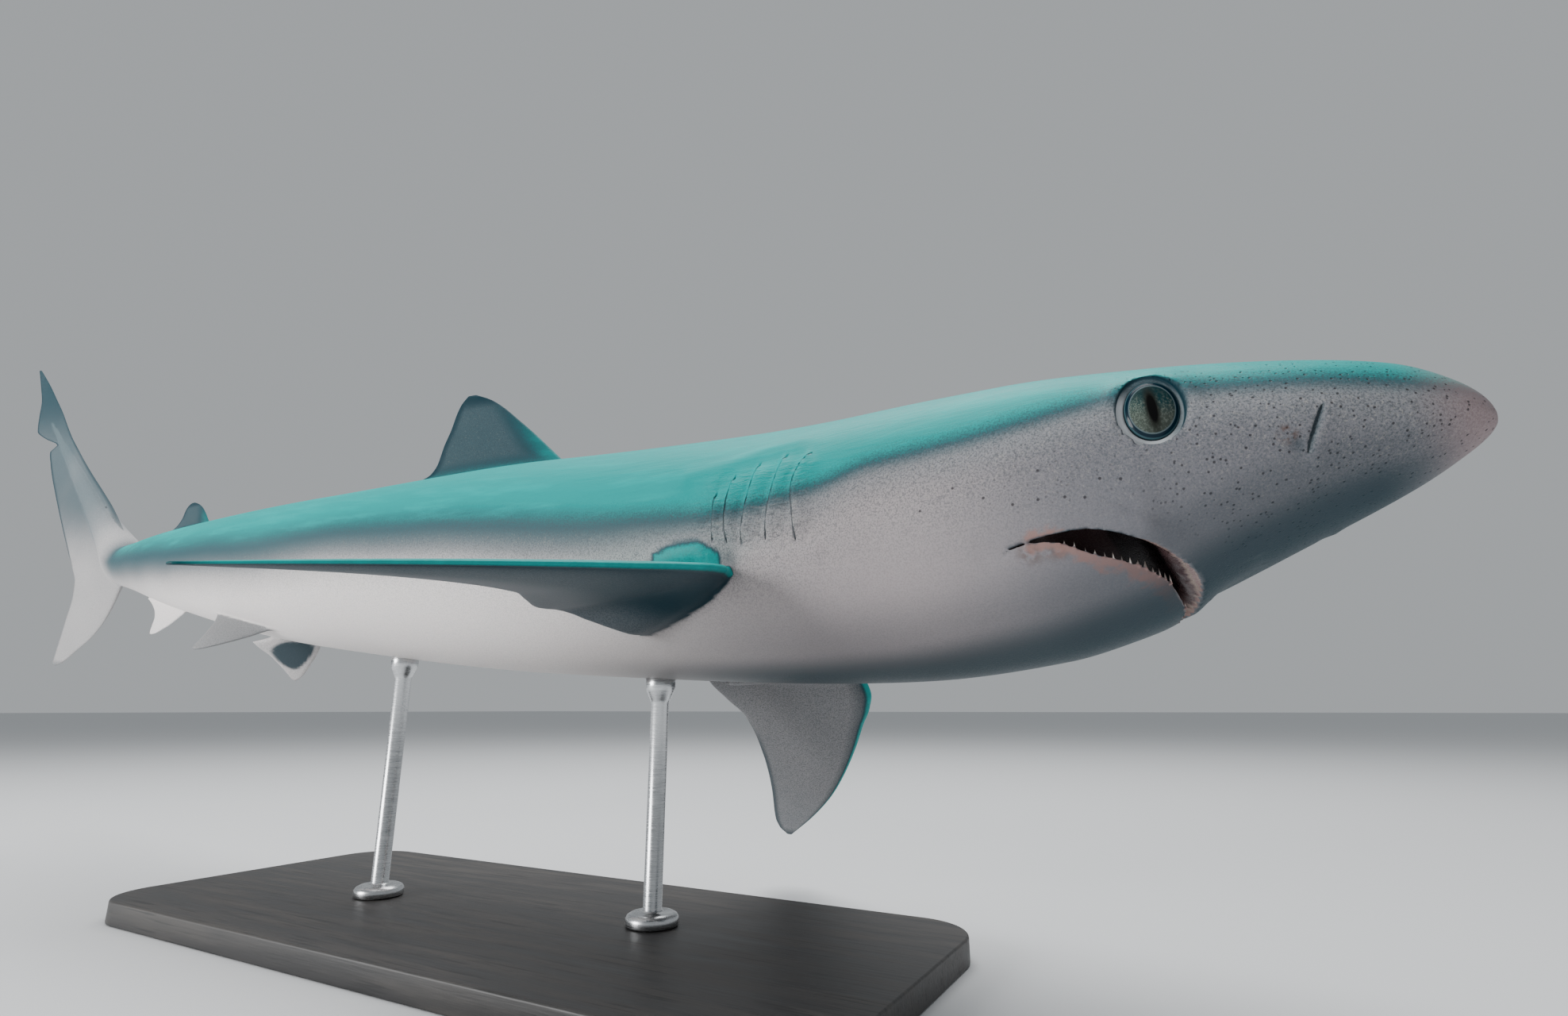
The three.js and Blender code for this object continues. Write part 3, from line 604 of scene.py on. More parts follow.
# ---------------------------------------------------------------- the fins
# Stiff blades of cartilage rods and horny fibres under the same skin, thick and rounded at the
# leading edge and thin behind. Each row is [reach, leading edge, trailing edge, thickness in mm].
FIRST_DORSAL = [[-0.9, 34, 42.7, 11], [-0.3, 34.6, 42.6, 9], [0, 34.9, 42.6, 8], [0.3, 35.2, 45.8, 6.5],
                [0.5, 35.4, 44.6, 6], [0.9, 35.85, 43.6, 5.5], [1.5, 36.55, 43.3, 5],
                [2.5, 37.7, 43.2, 4.2], [3.5, 38.9, 43, 3.2], [4.4, 40, 42.9, 2.4], [5, 40.9, 42.75, 1.8],
                [5.45, 41.9, 42.45, 1.2]]
SECOND_DORSAL = [[-0.5, 61, 65.8, 5.5], [0, 61.4, 66, 5], [0.12, 61.5, 69.6, 4.2], [0.35, 61.7, 67.2, 3.8],
                 [0.7, 62.1, 66.2, 3.4], [1.1, 62.6, 65.75, 2.8], [1.5, 63.2, 65.6, 2.2],
                 [1.8, 63.9, 65.3, 1.6], [1.93, 64.4, 64.9, 1.2]]
ANAL = [[-0.5, 60.7, 65.4, 5.5], [0, 61.1, 65.6, 5], [0.12, 61.3, 69.2, 4.2], [0.4, 61.8, 67.6, 3.8],
        [0.8, 62.5, 66.4, 3.4], [1.2, 63.25, 66.1, 2.8], [1.6, 64.2, 66.2, 2.2], [1.95, 65.1, 66.3, 1.6],
        [2.15, 65.9, 66.25, 1.2]]
PELVIC = [[-0.9, -0.3, 4.6, 7.5], [-0.5, -0.15, 4.45, 6.5], [0, 0, 4.1, 5.6], [0.5, 0.62, 3.8, 4.6],
          [1, 1.32, 3.62, 3.6], [1.45, 2.02, 3.5, 2.6], [1.78, 2.6, 3.42, 1.8], [1.95, 3, 3.3, 1.2]]
CAUDAL = [[-7.53, 6.95, 7.35, 1.2], [-7.3, 6.2, 7.45, 1.8], [-6.4, 4.65, 7.4, 2.6], [-5.3, 2.9, 7.28, 3.6],
          [-4.2, 1.75, 7.2, 5], [-2.8, 0.95, 7.05, 7], [-1.4, 0.45, 7.35, 10], [-0.4, 0.2, 8.25, 11],
          [0.6, 0.3, 9.35, 11], [1.5, 1, 10.3, 10], [2.8, 2.7, 11.65, 8], [4.2, 4.6, 13.05, 6.5],
          [5.6, 6.85, 14.4, 5.5], [7, 9.2, 15.7, 4.8], [8.2, 11.1, 16.65, 4.2], [9.2, 12.6, 17.25, 3.8],
          [9.7, 13.35, 16.3, 3.6], [10.3, 14.2, 18.4, 3.4], [10.7, 14.7, 19.7, 3.2], [11.1, 15.2, 20.6, 3],
          [12.6, 17, 21.15, 2.6], [13.7, 18.5, 21.4, 2.2], [15.4, 20.85, 22.5, 1.7],
          [16.97, 23.3, 23.65, 1.1]]
FIN_EDGE = 0.3  # mm, half the thickness of a fin's thin edges


def blade(rows, spacing, around, to_space, marks):
    """A fin through rows. to_space turns (reach, back, off) into a place, all in % of length. marks
    takes the reach, the share of the chord, how far ahead of the trailing edge, and the side."""
    columns = [[[row[0], row[k]] for row in rows] for k in (1, 2, 3)]
    reaches = [rows[0][0]]
    for low, high in zip(rows, rows[1:]):
        steps = max(2, round((high[0] - low[0]) / spacing))
        reaches += [low[0] + (high[0] - low[0]) * (k + 1) / steps for k in range(steps)]

    def fin(row, angle):
        reach = reaches[row]
        lead, trail, thick = (along(column, reach) for column in columns)
        share = (1 - math.cos(angle)) / 2
        full = math.sin(angle) * (1.3 - 0.6 * share)
        off = math.copysign(FIN_EDGE, full) * min(1.0, abs(full) * 3) + (thick / 2 - FIN_EDGE) * full
        back = lead + (trail - lead) * share
        point = to_space(reach, back, off / PERCENT / 1000)
        return point, marks(reach, share, trail - back, math.sin(angle))

    return wrapped(len(reaches) - 1, around, fin)


def on_back(reach, station, off):
    return spot(station, section(station)[0] + reach, off)


def on_belly(reach, station, off):
    return spot(station, -section(station)[1] - reach, off)


def dorsal_marks(tip, first):
    def marks(reach, share, from_trail, _):
        rim = fade(0.8, 0.15, from_trail)
        top = fade(0.68 * tip, 0.95 * tip, reach)
        base = fade(1.1, 0.1, reach / tip * 4)
        front = fade(0.3, 0.0, share) * fade(tip, 0.3 * tip, reach)
        dark = max(0.95 * rim, 0.95 * top, 0.5 - 0.4 * base)
        return {"tone": -0.4 + 1.3 * max(base, front), "trail": first / 100, "shade": dark,
                "fused": fade(0.5, 0.15, reach)}
    return marks


def pale_marks(first):
    def marks(reach, share, from_trail, _):
        return {"tone": -2.4, "trail": first / 100, "shade": 0.2 * fade(0.3, 0.05, from_trail),
                "fused": fade(0.4, 0.1, reach)}
    return marks


PECTORAL_ROOT = (22.16, -3.06)
PECTORAL_SPAN = 14.04
PECTORAL_LEAD = [[0, -0.45], [0.07, -0.9], [0.14, -1.05], [0.3, -0.2], [0.5, 1.1], [0.7, 2.7], [0.86, 4.4],
                 [0.96, 5.65], [1, 6.17]]
PECTORAL_CHORD = [[0, 5.2], [0.07, 6.7], [0.14, 8.1], [0.3, 5.94], [0.5, 4.55], [0.7, 3.35], [0.86, 2.18],
                  [0.95, 1.21], [1, 0.3]]
PECTORAL_THICKNESS = [[0, 13], [0.14, 10.5], [0.3, 8.5], [0.5, 6.5], [0.7, 4.6], [0.86, 3], [1, 1.4]]
PECTORAL_REACHES = (-0.22, 0, 0.07, 0.14, 0.22, 0.3, 0.4, 0.5, 0.6, 0.7, 0.78, 0.86, 0.92, 0.96, 0.985, 1)
PELVIC_ROOT = (49.7, -3.77)
# How each paired fin is held: droop below the body's own level, swing towards the tail, how far
# ahead its root is drawn, and the pitch of its chord by reach.
PECTORAL_HELD = {
    1: (23.9, 0, 0, [[0, 24], [1.68, 7.3], [4.91, 4.2], [14.04, -1.9]]),
    -1: (24.2, 6.4, 0.6, [[0, 24], [1.68, 1], [4.91, 2.7], [14.04, 4]]),
}
PELVIC_HELD = {1: (53, 0, 0, [[0, -6], [1, -6]]), -1: (47, -8, 0, [[0, 10], [1, 10]])}


def pectoral_lead(reach):
    return along(PECTORAL_LEAD, reach / PECTORAL_SPAN)


PECTORAL = [[share * PECTORAL_SPAN, along(PECTORAL_LEAD, share),
             along(PECTORAL_LEAD, share) + along(PECTORAL_CHORD, share), along(PECTORAL_THICKNESS, share)]
            for share in PECTORAL_REACHES]


def turned(first, second, angle):
    """A direction turned by an angle in degrees towards another."""
    return first * math.cos(math.radians(angle)) + second * math.sin(math.radians(angle))


def paired_space(root, side, held, lead_at):
    """A paired fin leaves the flank as it is held. lead_at gives the line its chord is pitched about."""
    droop, swing, drawn, pitches = held
    forward, right, up = facing(root[0])
    origin = spot(root[0], root[1], side * flank_at(*root)) + forward * drawn * PERCENT
    spread = turned(right * side, up, -droop)
    normal = turned(up, right * side, droop)
    outwards = turned(spread, forward, -swing)
    ahead = turned(forward, spread, swing)

    def to_space(reach, back, off):
        pitch = math.radians(along(pitches, reach))
        hinge = lead_at(reach)
        behind = hinge + (back - hinge) * math.cos(pitch) + off * math.sin(pitch)
        lifted = off * math.cos(pitch) - (back - hinge) * math.sin(pitch)
        return origin + (outwards * reach - ahead * behind + normal * lifted) * PERCENT

    return to_space


def pectoral_marks(side):
    def marks(reach, share, from_trail, upper):
        out = reach / PECTORAL_SPAN
        rim = fade(0.4, 0.08, from_trail) * fade(0.25, 0.5, out)
        tip = fade(0.94, 1.0, out)
        below = upper < (0.0 if side > 0 else 0.45)
        under = fade(0.0, 0.04, share) if below else 0.0
        line = math.exp(-((share - 0.055) / 0.03) ** 2) if below else 0.0
        # Painted shadow on the underside of the right fin, darkest towards its leading edge. The left fin's
        # underside is barely darkened.
        underside_shadow = under * ((0.66 + 0.3 * fade(0.85, 0.45, share)) if side > 0 else 0.06)
        return {
            "tone": 1.7 - 2.4 * under,
            "trail": 0.24,
            "shade": max(0.75 * rim, 0.8 * tip, underside_shadow, 0.6 * line),
            "fused": fade(0.1, 0.03, out),
        }
    return marks


def pelvic_marks(side):
    def marks(reach, share, from_trail, upper):
        # The left fin's thick middle is painted dark as painted shadow, where light shines through its thin
        # rim. The right fin is greyed evenly.
        patch = math.exp(-((reach - 0.4) / 0.85) ** 2 - ((share - 0.52) / 0.4) ** 2)
        return {"tone": -1.5, "trail": 0.5, "shade": 0.93 * fade(0.27, 0.42, patch) if side < 0 else 0.5,
                "fused": fade(0.7, 0.3, reach)}
    return marks


tail_origin = axis_at(75.0)
tail_forward, tail_right, tail_up = bearing(-2.6, -5.4, 0)


def in_tail(reach, back, off):
    return tail_origin + (tail_up * reach - tail_forward * back + tail_right * off) * PERCENT


def tail_marks(reach, share, from_trail, _):
    rim = max(fade(0.7, 0.15, from_trail) * fade(-2, 1, reach), 0.6 * fade(0.4, 0.1, from_trail),
              0.7 * fade(-6.6, -7.5, reach))
    ahead = fade(0.1, 0.0, share) * fade(1, 4, reach)
    tip = fade(6, 14, reach)
    return {"tone": tail_tone(reach), "trail": 0.8, "shade": max(0.9 * rim, 0.7 * ahead, 0.7 * tip, 0.32),
            "fused": fade(0.3, 0.8, from_trail) * fade(0.03, 0.1, share)}


fins = [
    blade(FIRST_DORSAL, 0.13, 44, on_back, dorsal_marks(5.45, 36)),
    blade(SECOND_DORSAL, 0.08, 36, on_back, dorsal_marks(1.93, 62)),
    blade(ANAL, 0.08, 36, on_belly, pale_marks(62)),
    blade(CAUDAL, 0.2, 40, in_tail, tail_marks),
]
for side in (1, -1):
    pectoral_space = paired_space(PECTORAL_ROOT, side, PECTORAL_HELD[side], pectoral_lead)
    pelvic_space = paired_space(PELVIC_ROOT, side, PELVIC_HELD[side], lambda reach: 0.0)
    fins.append(blade(PECTORAL, 0.2, 44, pectoral_space, pectoral_marks(side)))
    fins.append(blade(PELVIC, 0.1, 32, pelvic_space, pelvic_marks(side)))
join(skin, gathered("fins", fins), "UNION")

# ---------------------------------------------------------------- the teeth
# Small pointed white teeth stand in a row along the inner edge of the lower lip, rooted in
# the gum. They lean inwards, and get shorter towards the corner of the mouth.
TOOTH_COUNT = 14
TOOTH_HEIGHT = 4.0   # mm at the front of the jaw
TOOTH_WIDTH = 0.62   # mm, half
TOOTH_ROOT = 1.0     # mm in the gum
TOOTH_TIP = 0.08     # mm, radius
TOOTH_INSET = 0.11   # % of length inside the lip
FIRST_TOOTH, TOOTH_RUN = 8.13, 2.3
TOOTH_SIZES = (1.0, 0.7, 0.85, 0.6)
LOWER_EDGE = [[station, height] for station, height in reversed(LOWER_LIP[:-1])]
teeth = bmesh.new()
tooth_layers = {name: teeth.verts.layers.float.new(name) for name in MARKS}
for side in (1, -1):
    for k in range(TOOTH_COUNT):
        share = (k + 0.5) / TOOTH_COUNT
        station = FIRST_TOOTH + TOOTH_RUN * share ** 1.5
        height = along(LOWER_EDGE, station)
        right = flank_at(station, height) - TOOTH_INSET
        foot = spot(station, height, side * right)
        forward, rightwards, up = facing(station)
        lean = (up + rightwards * side * 0.1 - forward * 0.05).normalized()
        size = (1 - 0.4 * share) * TOOTH_SIZES[k % 4]
        shape = bmesh.ops.create_cone(teeth, cap_ends=True, segments=8, radius1=TOOTH_WIDTH * size / 1000,
                                      radius2=TOOTH_TIP / 1000,
                                      depth=(TOOTH_HEIGHT * size + TOOTH_ROOT) / 1000)
        turn = lean.to_track_quat("Z", "Y").to_matrix().to_4x4()
        middle = foot + lean * (TOOTH_HEIGHT * size / 2 - 0.1) / 1000
        bmesh.ops.transform(teeth, matrix=Matrix.Translation(middle) @ turn, verts=shape["verts"])
        for vert in shape["verts"]:
            bared = 1.0 if (vert.co - foot).dot(lean) > TOOTH_ROOT / 1000 else 0.0
            for name, value in (("tooth", bared), ("tone", -3.0), ("trail", station / 100), ("lip", 1.0)):
                vert[tooth_layers[name]] = value
bmesh.ops.recalc_face_normals(teeth, faces=teeth.faces)
join(skin, piece("teeth", teeth), "UNION")

# ---------------------------------------------------------------- softening the seams
# Skin runs over every root, lip and rim without a hard line. The points along each join take their
# marks from their neighbours, and the places where fins and lips meet the body are rubbed smooth.
SHARP = math.radians(24)
SMALLEST_EDGE = 0.00025  # m
UNMARKED = 0.0005        # the trail of a point that the joins made is under this
soft = bmesh.new()
soft.from_mesh(skin.data)
bmesh.ops.triangulate(soft, faces=soft.faces)
bmesh.ops.remove_doubles(soft, verts=soft.verts, dist=SMALLEST_EDGE)
soft_layers = [soft.verts.layers.float[name] for name in MARKS]
set_mark, fused, lid = (soft.verts.layers.float[name] for name in ("trail", "fused", "lid"))
for _ in range(4):
    for vert in [vert for vert in soft.verts if vert[set_mark] < UNMARKED]:
        known = [edge.other_vert(vert) for edge in vert.link_edges]
        known = [other for other in known if other[set_mark] >= UNMARKED]
        for layer in soft_layers if known else []:
            vert[layer] = sum(other[layer] for other in known) / len(known)
        vert[lid] = min([other[lid] for other in known], default=0.0)
worn = {vert for edge in soft.edges if len(edge.link_faces) == 2 and edge.calc_face_angle(0.0) > SHARP
        for vert in edge.verts if vert[fused] > 0.6}
for _ in range(2):
    worn |= {edge.other_vert(vert) for vert in worn for edge in vert.link_edges
             if edge.other_vert(vert)[fused] > 0.6}
for _ in range(5):
    bmesh.ops.smooth_vert(soft, verts=list(worn), factor=0.5, use_axis_x=True, use_axis_y=True,
                          use_axis_z=True)
soft.to_mesh(skin.data)
soft.free()

# ---------------------------------------------------------------- the skin's finish
# Blue above and pale below, with a speckled grey band between, fine rough scales that dull the
# light, dark pores over the snout, pink gums and dark-rimmed fins. Shadow is painted under the head,
# in the mouth, slits, nostrils and sockets, by the fin roots and on the paired fins, and the belly is
# painted lighter towards the tail as painted light.
BACK_COLOUR = (0.000, 0.330, 0.315, 1.0)
EDGE_COLOUR = (0.035, 0.100, 0.120, 1.0)
FLANK_COLOUR = (0.270, 0.275, 0.290, 1.0)
# The snout's underside and the head's belly are painted grey as painted shadow, and the tail's belly near
# white as painted light.
SNOUT_UNDERSIDE_SHADOW_COLOUR = (0.150, 0.158, 0.180, 1.0)
HEAD_BELLY_COLOUR = (0.385, 0.345, 0.350, 1.0)
TAIL_BELLY_COLOUR = (0.940, 0.885, 0.860, 1.0)
LIP_COLOUR = (0.330, 0.190, 0.165, 1.0)
GUM_COLOUR = (0.270, 0.115, 0.105, 1.0)
PALE_GUM_COLOUR = (0.420, 0.330, 0.275, 1.0)
# The depths of the mouth are painted near black: painted shadow.
MOUTH_SHADOW_COLOUR = (0.020, 0.014, 0.016, 1.0)
TOOTH_COLOUR = (0.60, 0.52, 0.48, 1.0)
LID_COLOUR = (0.62, 0.64, 0.66, 1.0)
# Dark fin margins, and painted shadow under the head, in the openings and on the paired fins.
DARK_AND_SHADE_COLOUR = (0.004, 0.030, 0.044, 1.0)
PORE_COLOUR = (0.030, 0.028, 0.032, 1.0)
STREAK_COLOUR = (0.000, 0.420, 0.400, 1.0)
DARK_SPECK_COLOUR = (0.045, 0.060, 0.070, 1.0)
PALE_SPECK_COLOUR = (0.50, 0.47, 0.42, 1.0)
BLOTCH_COLOUR = (0.46, 0.40, 0.37, 1.0)
SNOUT_TIP_COLOUR = (0.330, 0.215, 0.215, 1.0)
SCRAPE_COLOUR = (0.105, 0.048, 0.030, 1.0)
skin_finish, tree, skin_shader = new_finish("shark_skin")


def mark(name):
    return node(tree, "ShaderNodeAttribute", attribute_name=name)["Fac"]


def step(value, low, high, to_low=0.0, to_high=1.0):
    """A smooth step of a value, from to_low to to_high."""
    return node(tree, "ShaderNodeMapRange", {"Value": value, "From Min": low, "From Max": high,
                                             "To Min": to_low, "To Max": to_high},
                interpolation_type="SMOOTHSTEP")["Result"]


def worked(operation, a, b):
    return node(tree, "ShaderNodeMath", {0: a, 1: b}, operation=operation)["Value"]


times = functools.partial(worked, "MULTIPLY")
plus = functools.partial(worked, "ADD")
minus = functools.partial(worked, "SUBTRACT")
larger = functools.partial(worked, "MAXIMUM")


def mixed(share, under, over, blend="MIX"):
    """One colour laid over another."""
    made = node(tree, "ShaderNodeMix", {0: share, 6: under, 7: over}, data_type="RGBA", blend_type=blend)
    return made[2]


where = node(tree, "ShaderNodeTexCoord")["Object"]


def grain(scale, detail=2.0, stretch=(1, 1, 1), rough=0.5):
    """Noise from 0 to 1 over the skin, stretched along the body if asked."""
    turned = node(tree, "ShaderNodeMapping", {"Vector": where, "Scale": stretch})["Vector"]
    return node(tree, "ShaderNodeTexNoise", {"Vector": turned, "Scale": scale, "Detail": detail,
                                             "Roughness": rough})["Fac"]


# Pale belly, grey flank, dark edge and blue back, each laid over the one before along the tone.
# The edges between them are ragged on the head and wide behind it.
tone, trail = mark("tone"), mark("trail")
cloud = grain(9.0, 3.0)
fine = grain(1150.0, 2.0, rough=0.7)
speckle = grain(760.0, 3.0, rough=0.7)
ragged = plus(tone, times(minus(cloud, 0.5), 0.5))
ragged = plus(ragged, times(minus(speckle, 0.5), 0.5))
# Painted light and shadow: the belly is painted grey under the head and near white towards the tail, and
# the snout's underside darker still.
belly = mixed(step(trail, 0.16, 0.40), HEAD_BELLY_COLOUR, TAIL_BELLY_COLOUR)
belly = mixed(step(trail, 0.155, 0.085, 0.0, 0.8), belly, SNOUT_UNDERSIDE_SHADOW_COLOUR)
flank_low, edge_low = step(trail, 0.2, 0.34, -1.6, -2.7), step(trail, 0.2, 0.34, -0.6, -1.6)
back_high = step(trail, 0.2, 0.34, 0.55, 1.5)
colour = mixed(step(ragged, flank_low, -0.3), belly, FLANK_COLOUR)
colour = mixed(step(ragged, edge_low, 0.1), colour, EDGE_COLOUR)
colour = mixed(step(ragged, -0.1, back_high), colour, BACK_COLOUR)
streaks = grain(16.0, 3.0, (1.0, 7.0, 7.0), 0.6)
colour = mixed(times(step(tone, 0.2, 0.9), step(streaks, 0.45, 0.72, 0.0, 0.55)), colour, STREAK_COLOUR)

# Dark and pale specks, a faint blotching, a pink snout tip and the creased skin of the gills, with
# painted highlight on its folds and painted shadow in its creases.
specks = times(step(tone, -4.0, -0.6, 0.25, 1.0), step(tone, 1.0, 0.2, 0.12, 1.0))
specks = times(specks, step(trail, 0.25, 0.6, 1.0, 0.35))
colour = mixed(times(specks, step(fine, 0.34, 0.60, 0.62, 0.0)), colour, DARK_SPECK_COLOUR)
specks = times(specks, step(tone, 0.0, -0.6))
colour = mixed(times(specks, step(speckle, 0.52, 0.72, 0.0, 0.38)), colour, PALE_SPECK_COLOUR)
colour = mixed(step(grain(3.2, 4.0), 0.45, 0.8, 0.0, 0.28), colour, BLOTCH_COLOUR, "MULTIPLY")
colour = mixed(step(trail, 0.022, 0.004, 0.0, 0.55), colour, SNOUT_TIP_COLOUR)
folds = grain(150.0, 3.0, (0.7, 1.0, 2.6), 0.65)
gill_skin = times(mark("gill"), step(tone, 0.2, -0.3))
# Painted highlight on the folds of the gill skin, then painted shadow in its creases.
colour = mixed(times(gill_skin, step(folds, 0.52, 0.66, 0.0, 0.4)), colour, (0.36, 0.36, 0.35, 1.0))
colour = mixed(times(gill_skin, step(folds, 0.44, 0.34, 0.0, 0.5)), colour, (0.05, 0.055, 0.06, 1.0))

# Pores: many small ones on the snout, and a row of larger ones behind the eye.
cells = node(tree, "ShaderNodeTexVoronoi", {"Vector": where, "Scale": 400.0, "Randomness": 0.9})
kept = step(node(tree, "ShaderNodeSeparateColor", {"Color": cells["Color"]})["Red"], 0.42, 0.44)
dots = times(step(cells["Distance"], 0.28, 0.14), kept)
pores = times(dots, mark("pore"))
LARGE_PORES = [(12.2, -2.15), (11.4, -2.45), (10.7, -2.4), (10, -2.4), (9.5, -2.45), (9.05, -2),
               (8.55, -2.05), (10.6, -1.6), (13.1, -1.7), (14.2, -2.2)]


def gap_from(station, height, side):
    """The distance from a place on the flank, in metres."""
    place = spot(station, height, side * flank_at(station, height))
    return node(tree, "ShaderNodeVectorMath", {0: where, 1: place}, operation="DISTANCE")["Value"]


for side in (1, -1):
    for station, height in LARGE_PORES:
        pores = larger(pores, step(gap_from(station, height, side), 0.0009, 0.0004))
colour = mixed(times(pores, 0.8), colour, PORE_COLOUR)

# Old scrapes: beside the right nostril and at the corner of the mouth.
# Each is (station, height, radius in m, strength).
SCRAPES = [(4.62, -1.12, 0.0055, 1.0), (11.2, -3.62, 0.009, 0.5), (10.5, -3.6, 0.008, 0.45)]
for station, height, radius, strength in SCRAPES:
    worn_skin = times(step(gap_from(station, height, 1), radius, 0.2 * radius),
                      step(grain(260.0, 3.0), 0.32, 0.55))
    colour = mixed(times(worn_skin, strength), colour, SCRAPE_COLOUR)

# Eyelids, lips and the inside of the mouth, painted near black in its depths as painted shadow, the
# darkened skin (dark fin margins, and painted shadow elsewhere), and the teeth.
gums = mixed(step(cloud, 0.3, 0.7), GUM_COLOUR, (0.30, 0.20, 0.21, 1))
mouth_colour = mixed(step(mark("shade"), 0.05, 0.55), gums, MOUTH_SHADOW_COLOUR)
colour = mixed(mark("lid"), colour, LID_COLOUR)
lip_band = step(plus(mark("lip"), times(minus(grain(210.0, 3.0), 0.5), 1.4)), 0.35, 0.85)
colour = mixed(times(lip_band, 0.75), colour, LIP_COLOUR)
flesh = step(mark("flesh"), 0.8, 1.0)
not_mouth = minus(1.0, flesh)
colour = mixed(times(mark("shade"), not_mouth), colour, DARK_AND_SHADE_COLOUR)
colour = mixed(flesh, colour, mouth_colour)
colour = mixed(times(mark("lip"), flesh), colour, PALE_GUM_COLOUR)
colour = mixed(step(mark("tooth"), 0.16, 0.32), colour, TOOTH_COLOUR)
tree.links.new(colour, skin_shader.inputs["Base Color"])

# The skin is matt, with the fine rasp of its scales, creases at the gills and pitted pores.
rough = plus(step(fine, 0.3, 0.7, 0.40, 0.52), times(mark("flesh"), -0.2))
tree.links.new(rough, skin_shader.inputs["Roughness"])
wrinkles = times(folds, mark("gill"))
relief_sum = plus(times(fine, 0.22), times(wrinkles, 4.0))
relief_sum = plus(relief_sum, times(streaks, times(step(tone, -0.4, 0.8), 1.1)))
relief_sum = minus(relief_sum, times(pores, 0.8))
bump = node(tree, "ShaderNodeBump", {"Height": relief_sum, "Strength": 0.55, "Distance": 0.0009})["Normal"]
tree.links.new(bump, skin_shader.inputs["Normal"])
skin_shader.inputs["Specular IOR Level"].default_value = 0.10
skin_shader.inputs["Subsurface Weight"].default_value = 0.06
skin_shader.inputs["Subsurface Radius"].default_value = (0.004, 0.002, 0.0015)
skin_shader.inputs["Subsurface Scale"].default_value = 1.0

skin.data.materials.clear()
skin.data.materials.append(skin_finish)
skin.data.polygons.foreach_set("use_smooth", [True] * len(skin.data.polygons))
skin.data.polygons.foreach_set("material_index", [0] * len(skin.data.polygons))
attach(skin, "root")
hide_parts("head", "lower_jaw", "gill_region", "trunk_front", "trunk_rear", "tail_stalk",
            "dorsal_fin_first", "dorsal_fin_second", "anal_fin", "pectoral_fin_right", "pectoral_fin_left",
            "pelvic_fin_right", "pelvic_fin_left", "caudal_fin_upper", "caudal_fin_lower")

# ---------------------------------------------------------------- the eyes
# Large round eyes, set flush in their sockets: a clear bulging cornea over a mottled olive and
# teal iris with a dark rim, and a dark upright slit of a pupil.
EYE_RADIUS = 11.8       # mm, where the eye meets the socket
EYE_SUNK = 1.6          # mm below the socket's rim
EYE_DRAWN = (0.9, 0.7)  # mm ahead of and above the socket's middle
EYE_PROFILE = [(0.0, -7.0), (0.55, -6.2), (0.9, -3.6), (1.0, -1.6), (0.985, -0.4), (0.94, 0.35),
               (0.82, 1.15), (0.66, 1.8), (0.46, 2.35), (0.24, 2.65), (0.0, 2.75)]
PUPIL_LEAN = -10           # degrees
PUPIL_SHAPE = (6.6, 2.15)  # how thin and how short it is drawn
eye_finish, tree, eye_shader = new_finish("shark_eye")
flat = node(tree, "ShaderNodeUVMap", uv_map="eye_map")["UV"]
centred = node(tree, "ShaderNodeMapping", {"Vector": flat, "Location": (-0.5, -0.5, 0.0)})["Vector"]
spread = node(tree, "ShaderNodeSeparateXYZ", {"Vector": centred})
radial = node(tree, "ShaderNodeVectorMath", {0: centred}, operation="LENGTH")["Value"]
leant = node(tree, "ShaderNodeMapping", {"Vector": centred,
                                         "Rotation": (0.0, 0.0, math.radians(PUPIL_LEAN))})["Vector"]
pupil_shape = node(tree, "ShaderNodeVectorMath", {0: leant, 1: (*PUPIL_SHAPE, 0.0)},
                   operation="MULTIPLY")["Vector"]
pupil_reach = node(tree, "ShaderNodeVectorMath", {0: pupil_shape}, operation="LENGTH")["Value"]
mottle = node(tree, "ShaderNodeTexNoise", {"Vector": centred, "Scale": 17.0, "Detail": 4.0,
                                           "Roughness": 0.65})["Fac"]
spokes = node(tree, "ShaderNodeTexNoise", {"Vector": centred, "Scale": 46.0, "Detail": 2.0})["Fac"]
iris = mixed(step(spread["Y"], -0.16, 0.14), (0.046, 0.056, 0.047, 1.0), (0.004, 0.030, 0.034, 1.0))
iris = mixed(step(mottle, 0.45, 0.66, 0.0, 0.85), iris, (0.110, 0.128, 0.110, 1.0))
iris = mixed(times(step(spread["X"], 0.0, -0.3), step(spokes, 0.45, 0.7, 0.1, 0.7)), iris,
             (0.205, 0.262, 0.215, 1.0))
iris = mixed(step(spread["Y"], 0.05, 0.30, 0.0, 0.8), iris, (0.001, 0.022, 0.026, 1.0))
iris = mixed(step(pupil_reach, 1.1, 0.5, 0.0, 0.9), iris, (0.012, 0.013, 0.010, 1.0))
iris = mixed(step(radial, 0.385, 0.400), iris, (0.11, 0.15, 0.16, 1.0))
iris = mixed(step(radial, 0.405, 0.418), iris, (0.001, 0.015, 0.028, 1.0))
iris = mixed(step(radial, 0.455, 0.470), iris, (0.05, 0.11, 0.13, 1.0))
iris = mixed(step(radial, 0.478, 0.490), iris, (0.003, 0.012, 0.018, 1.0))
iris = mixed(step(pupil_reach, 0.62, 0.44), iris, (0.0, 0.0, 0.0, 1.0))
tree.links.new(iris, eye_shader.inputs["Base Color"])
eye_shader.inputs["Roughness"].default_value = 0.28
eye_shader.inputs["Coat Weight"].default_value = 0.2
eye_shader.inputs["Coat Roughness"].default_value = 0.02
eye_shader.inputs["Specular IOR Level"].default_value = 0.08


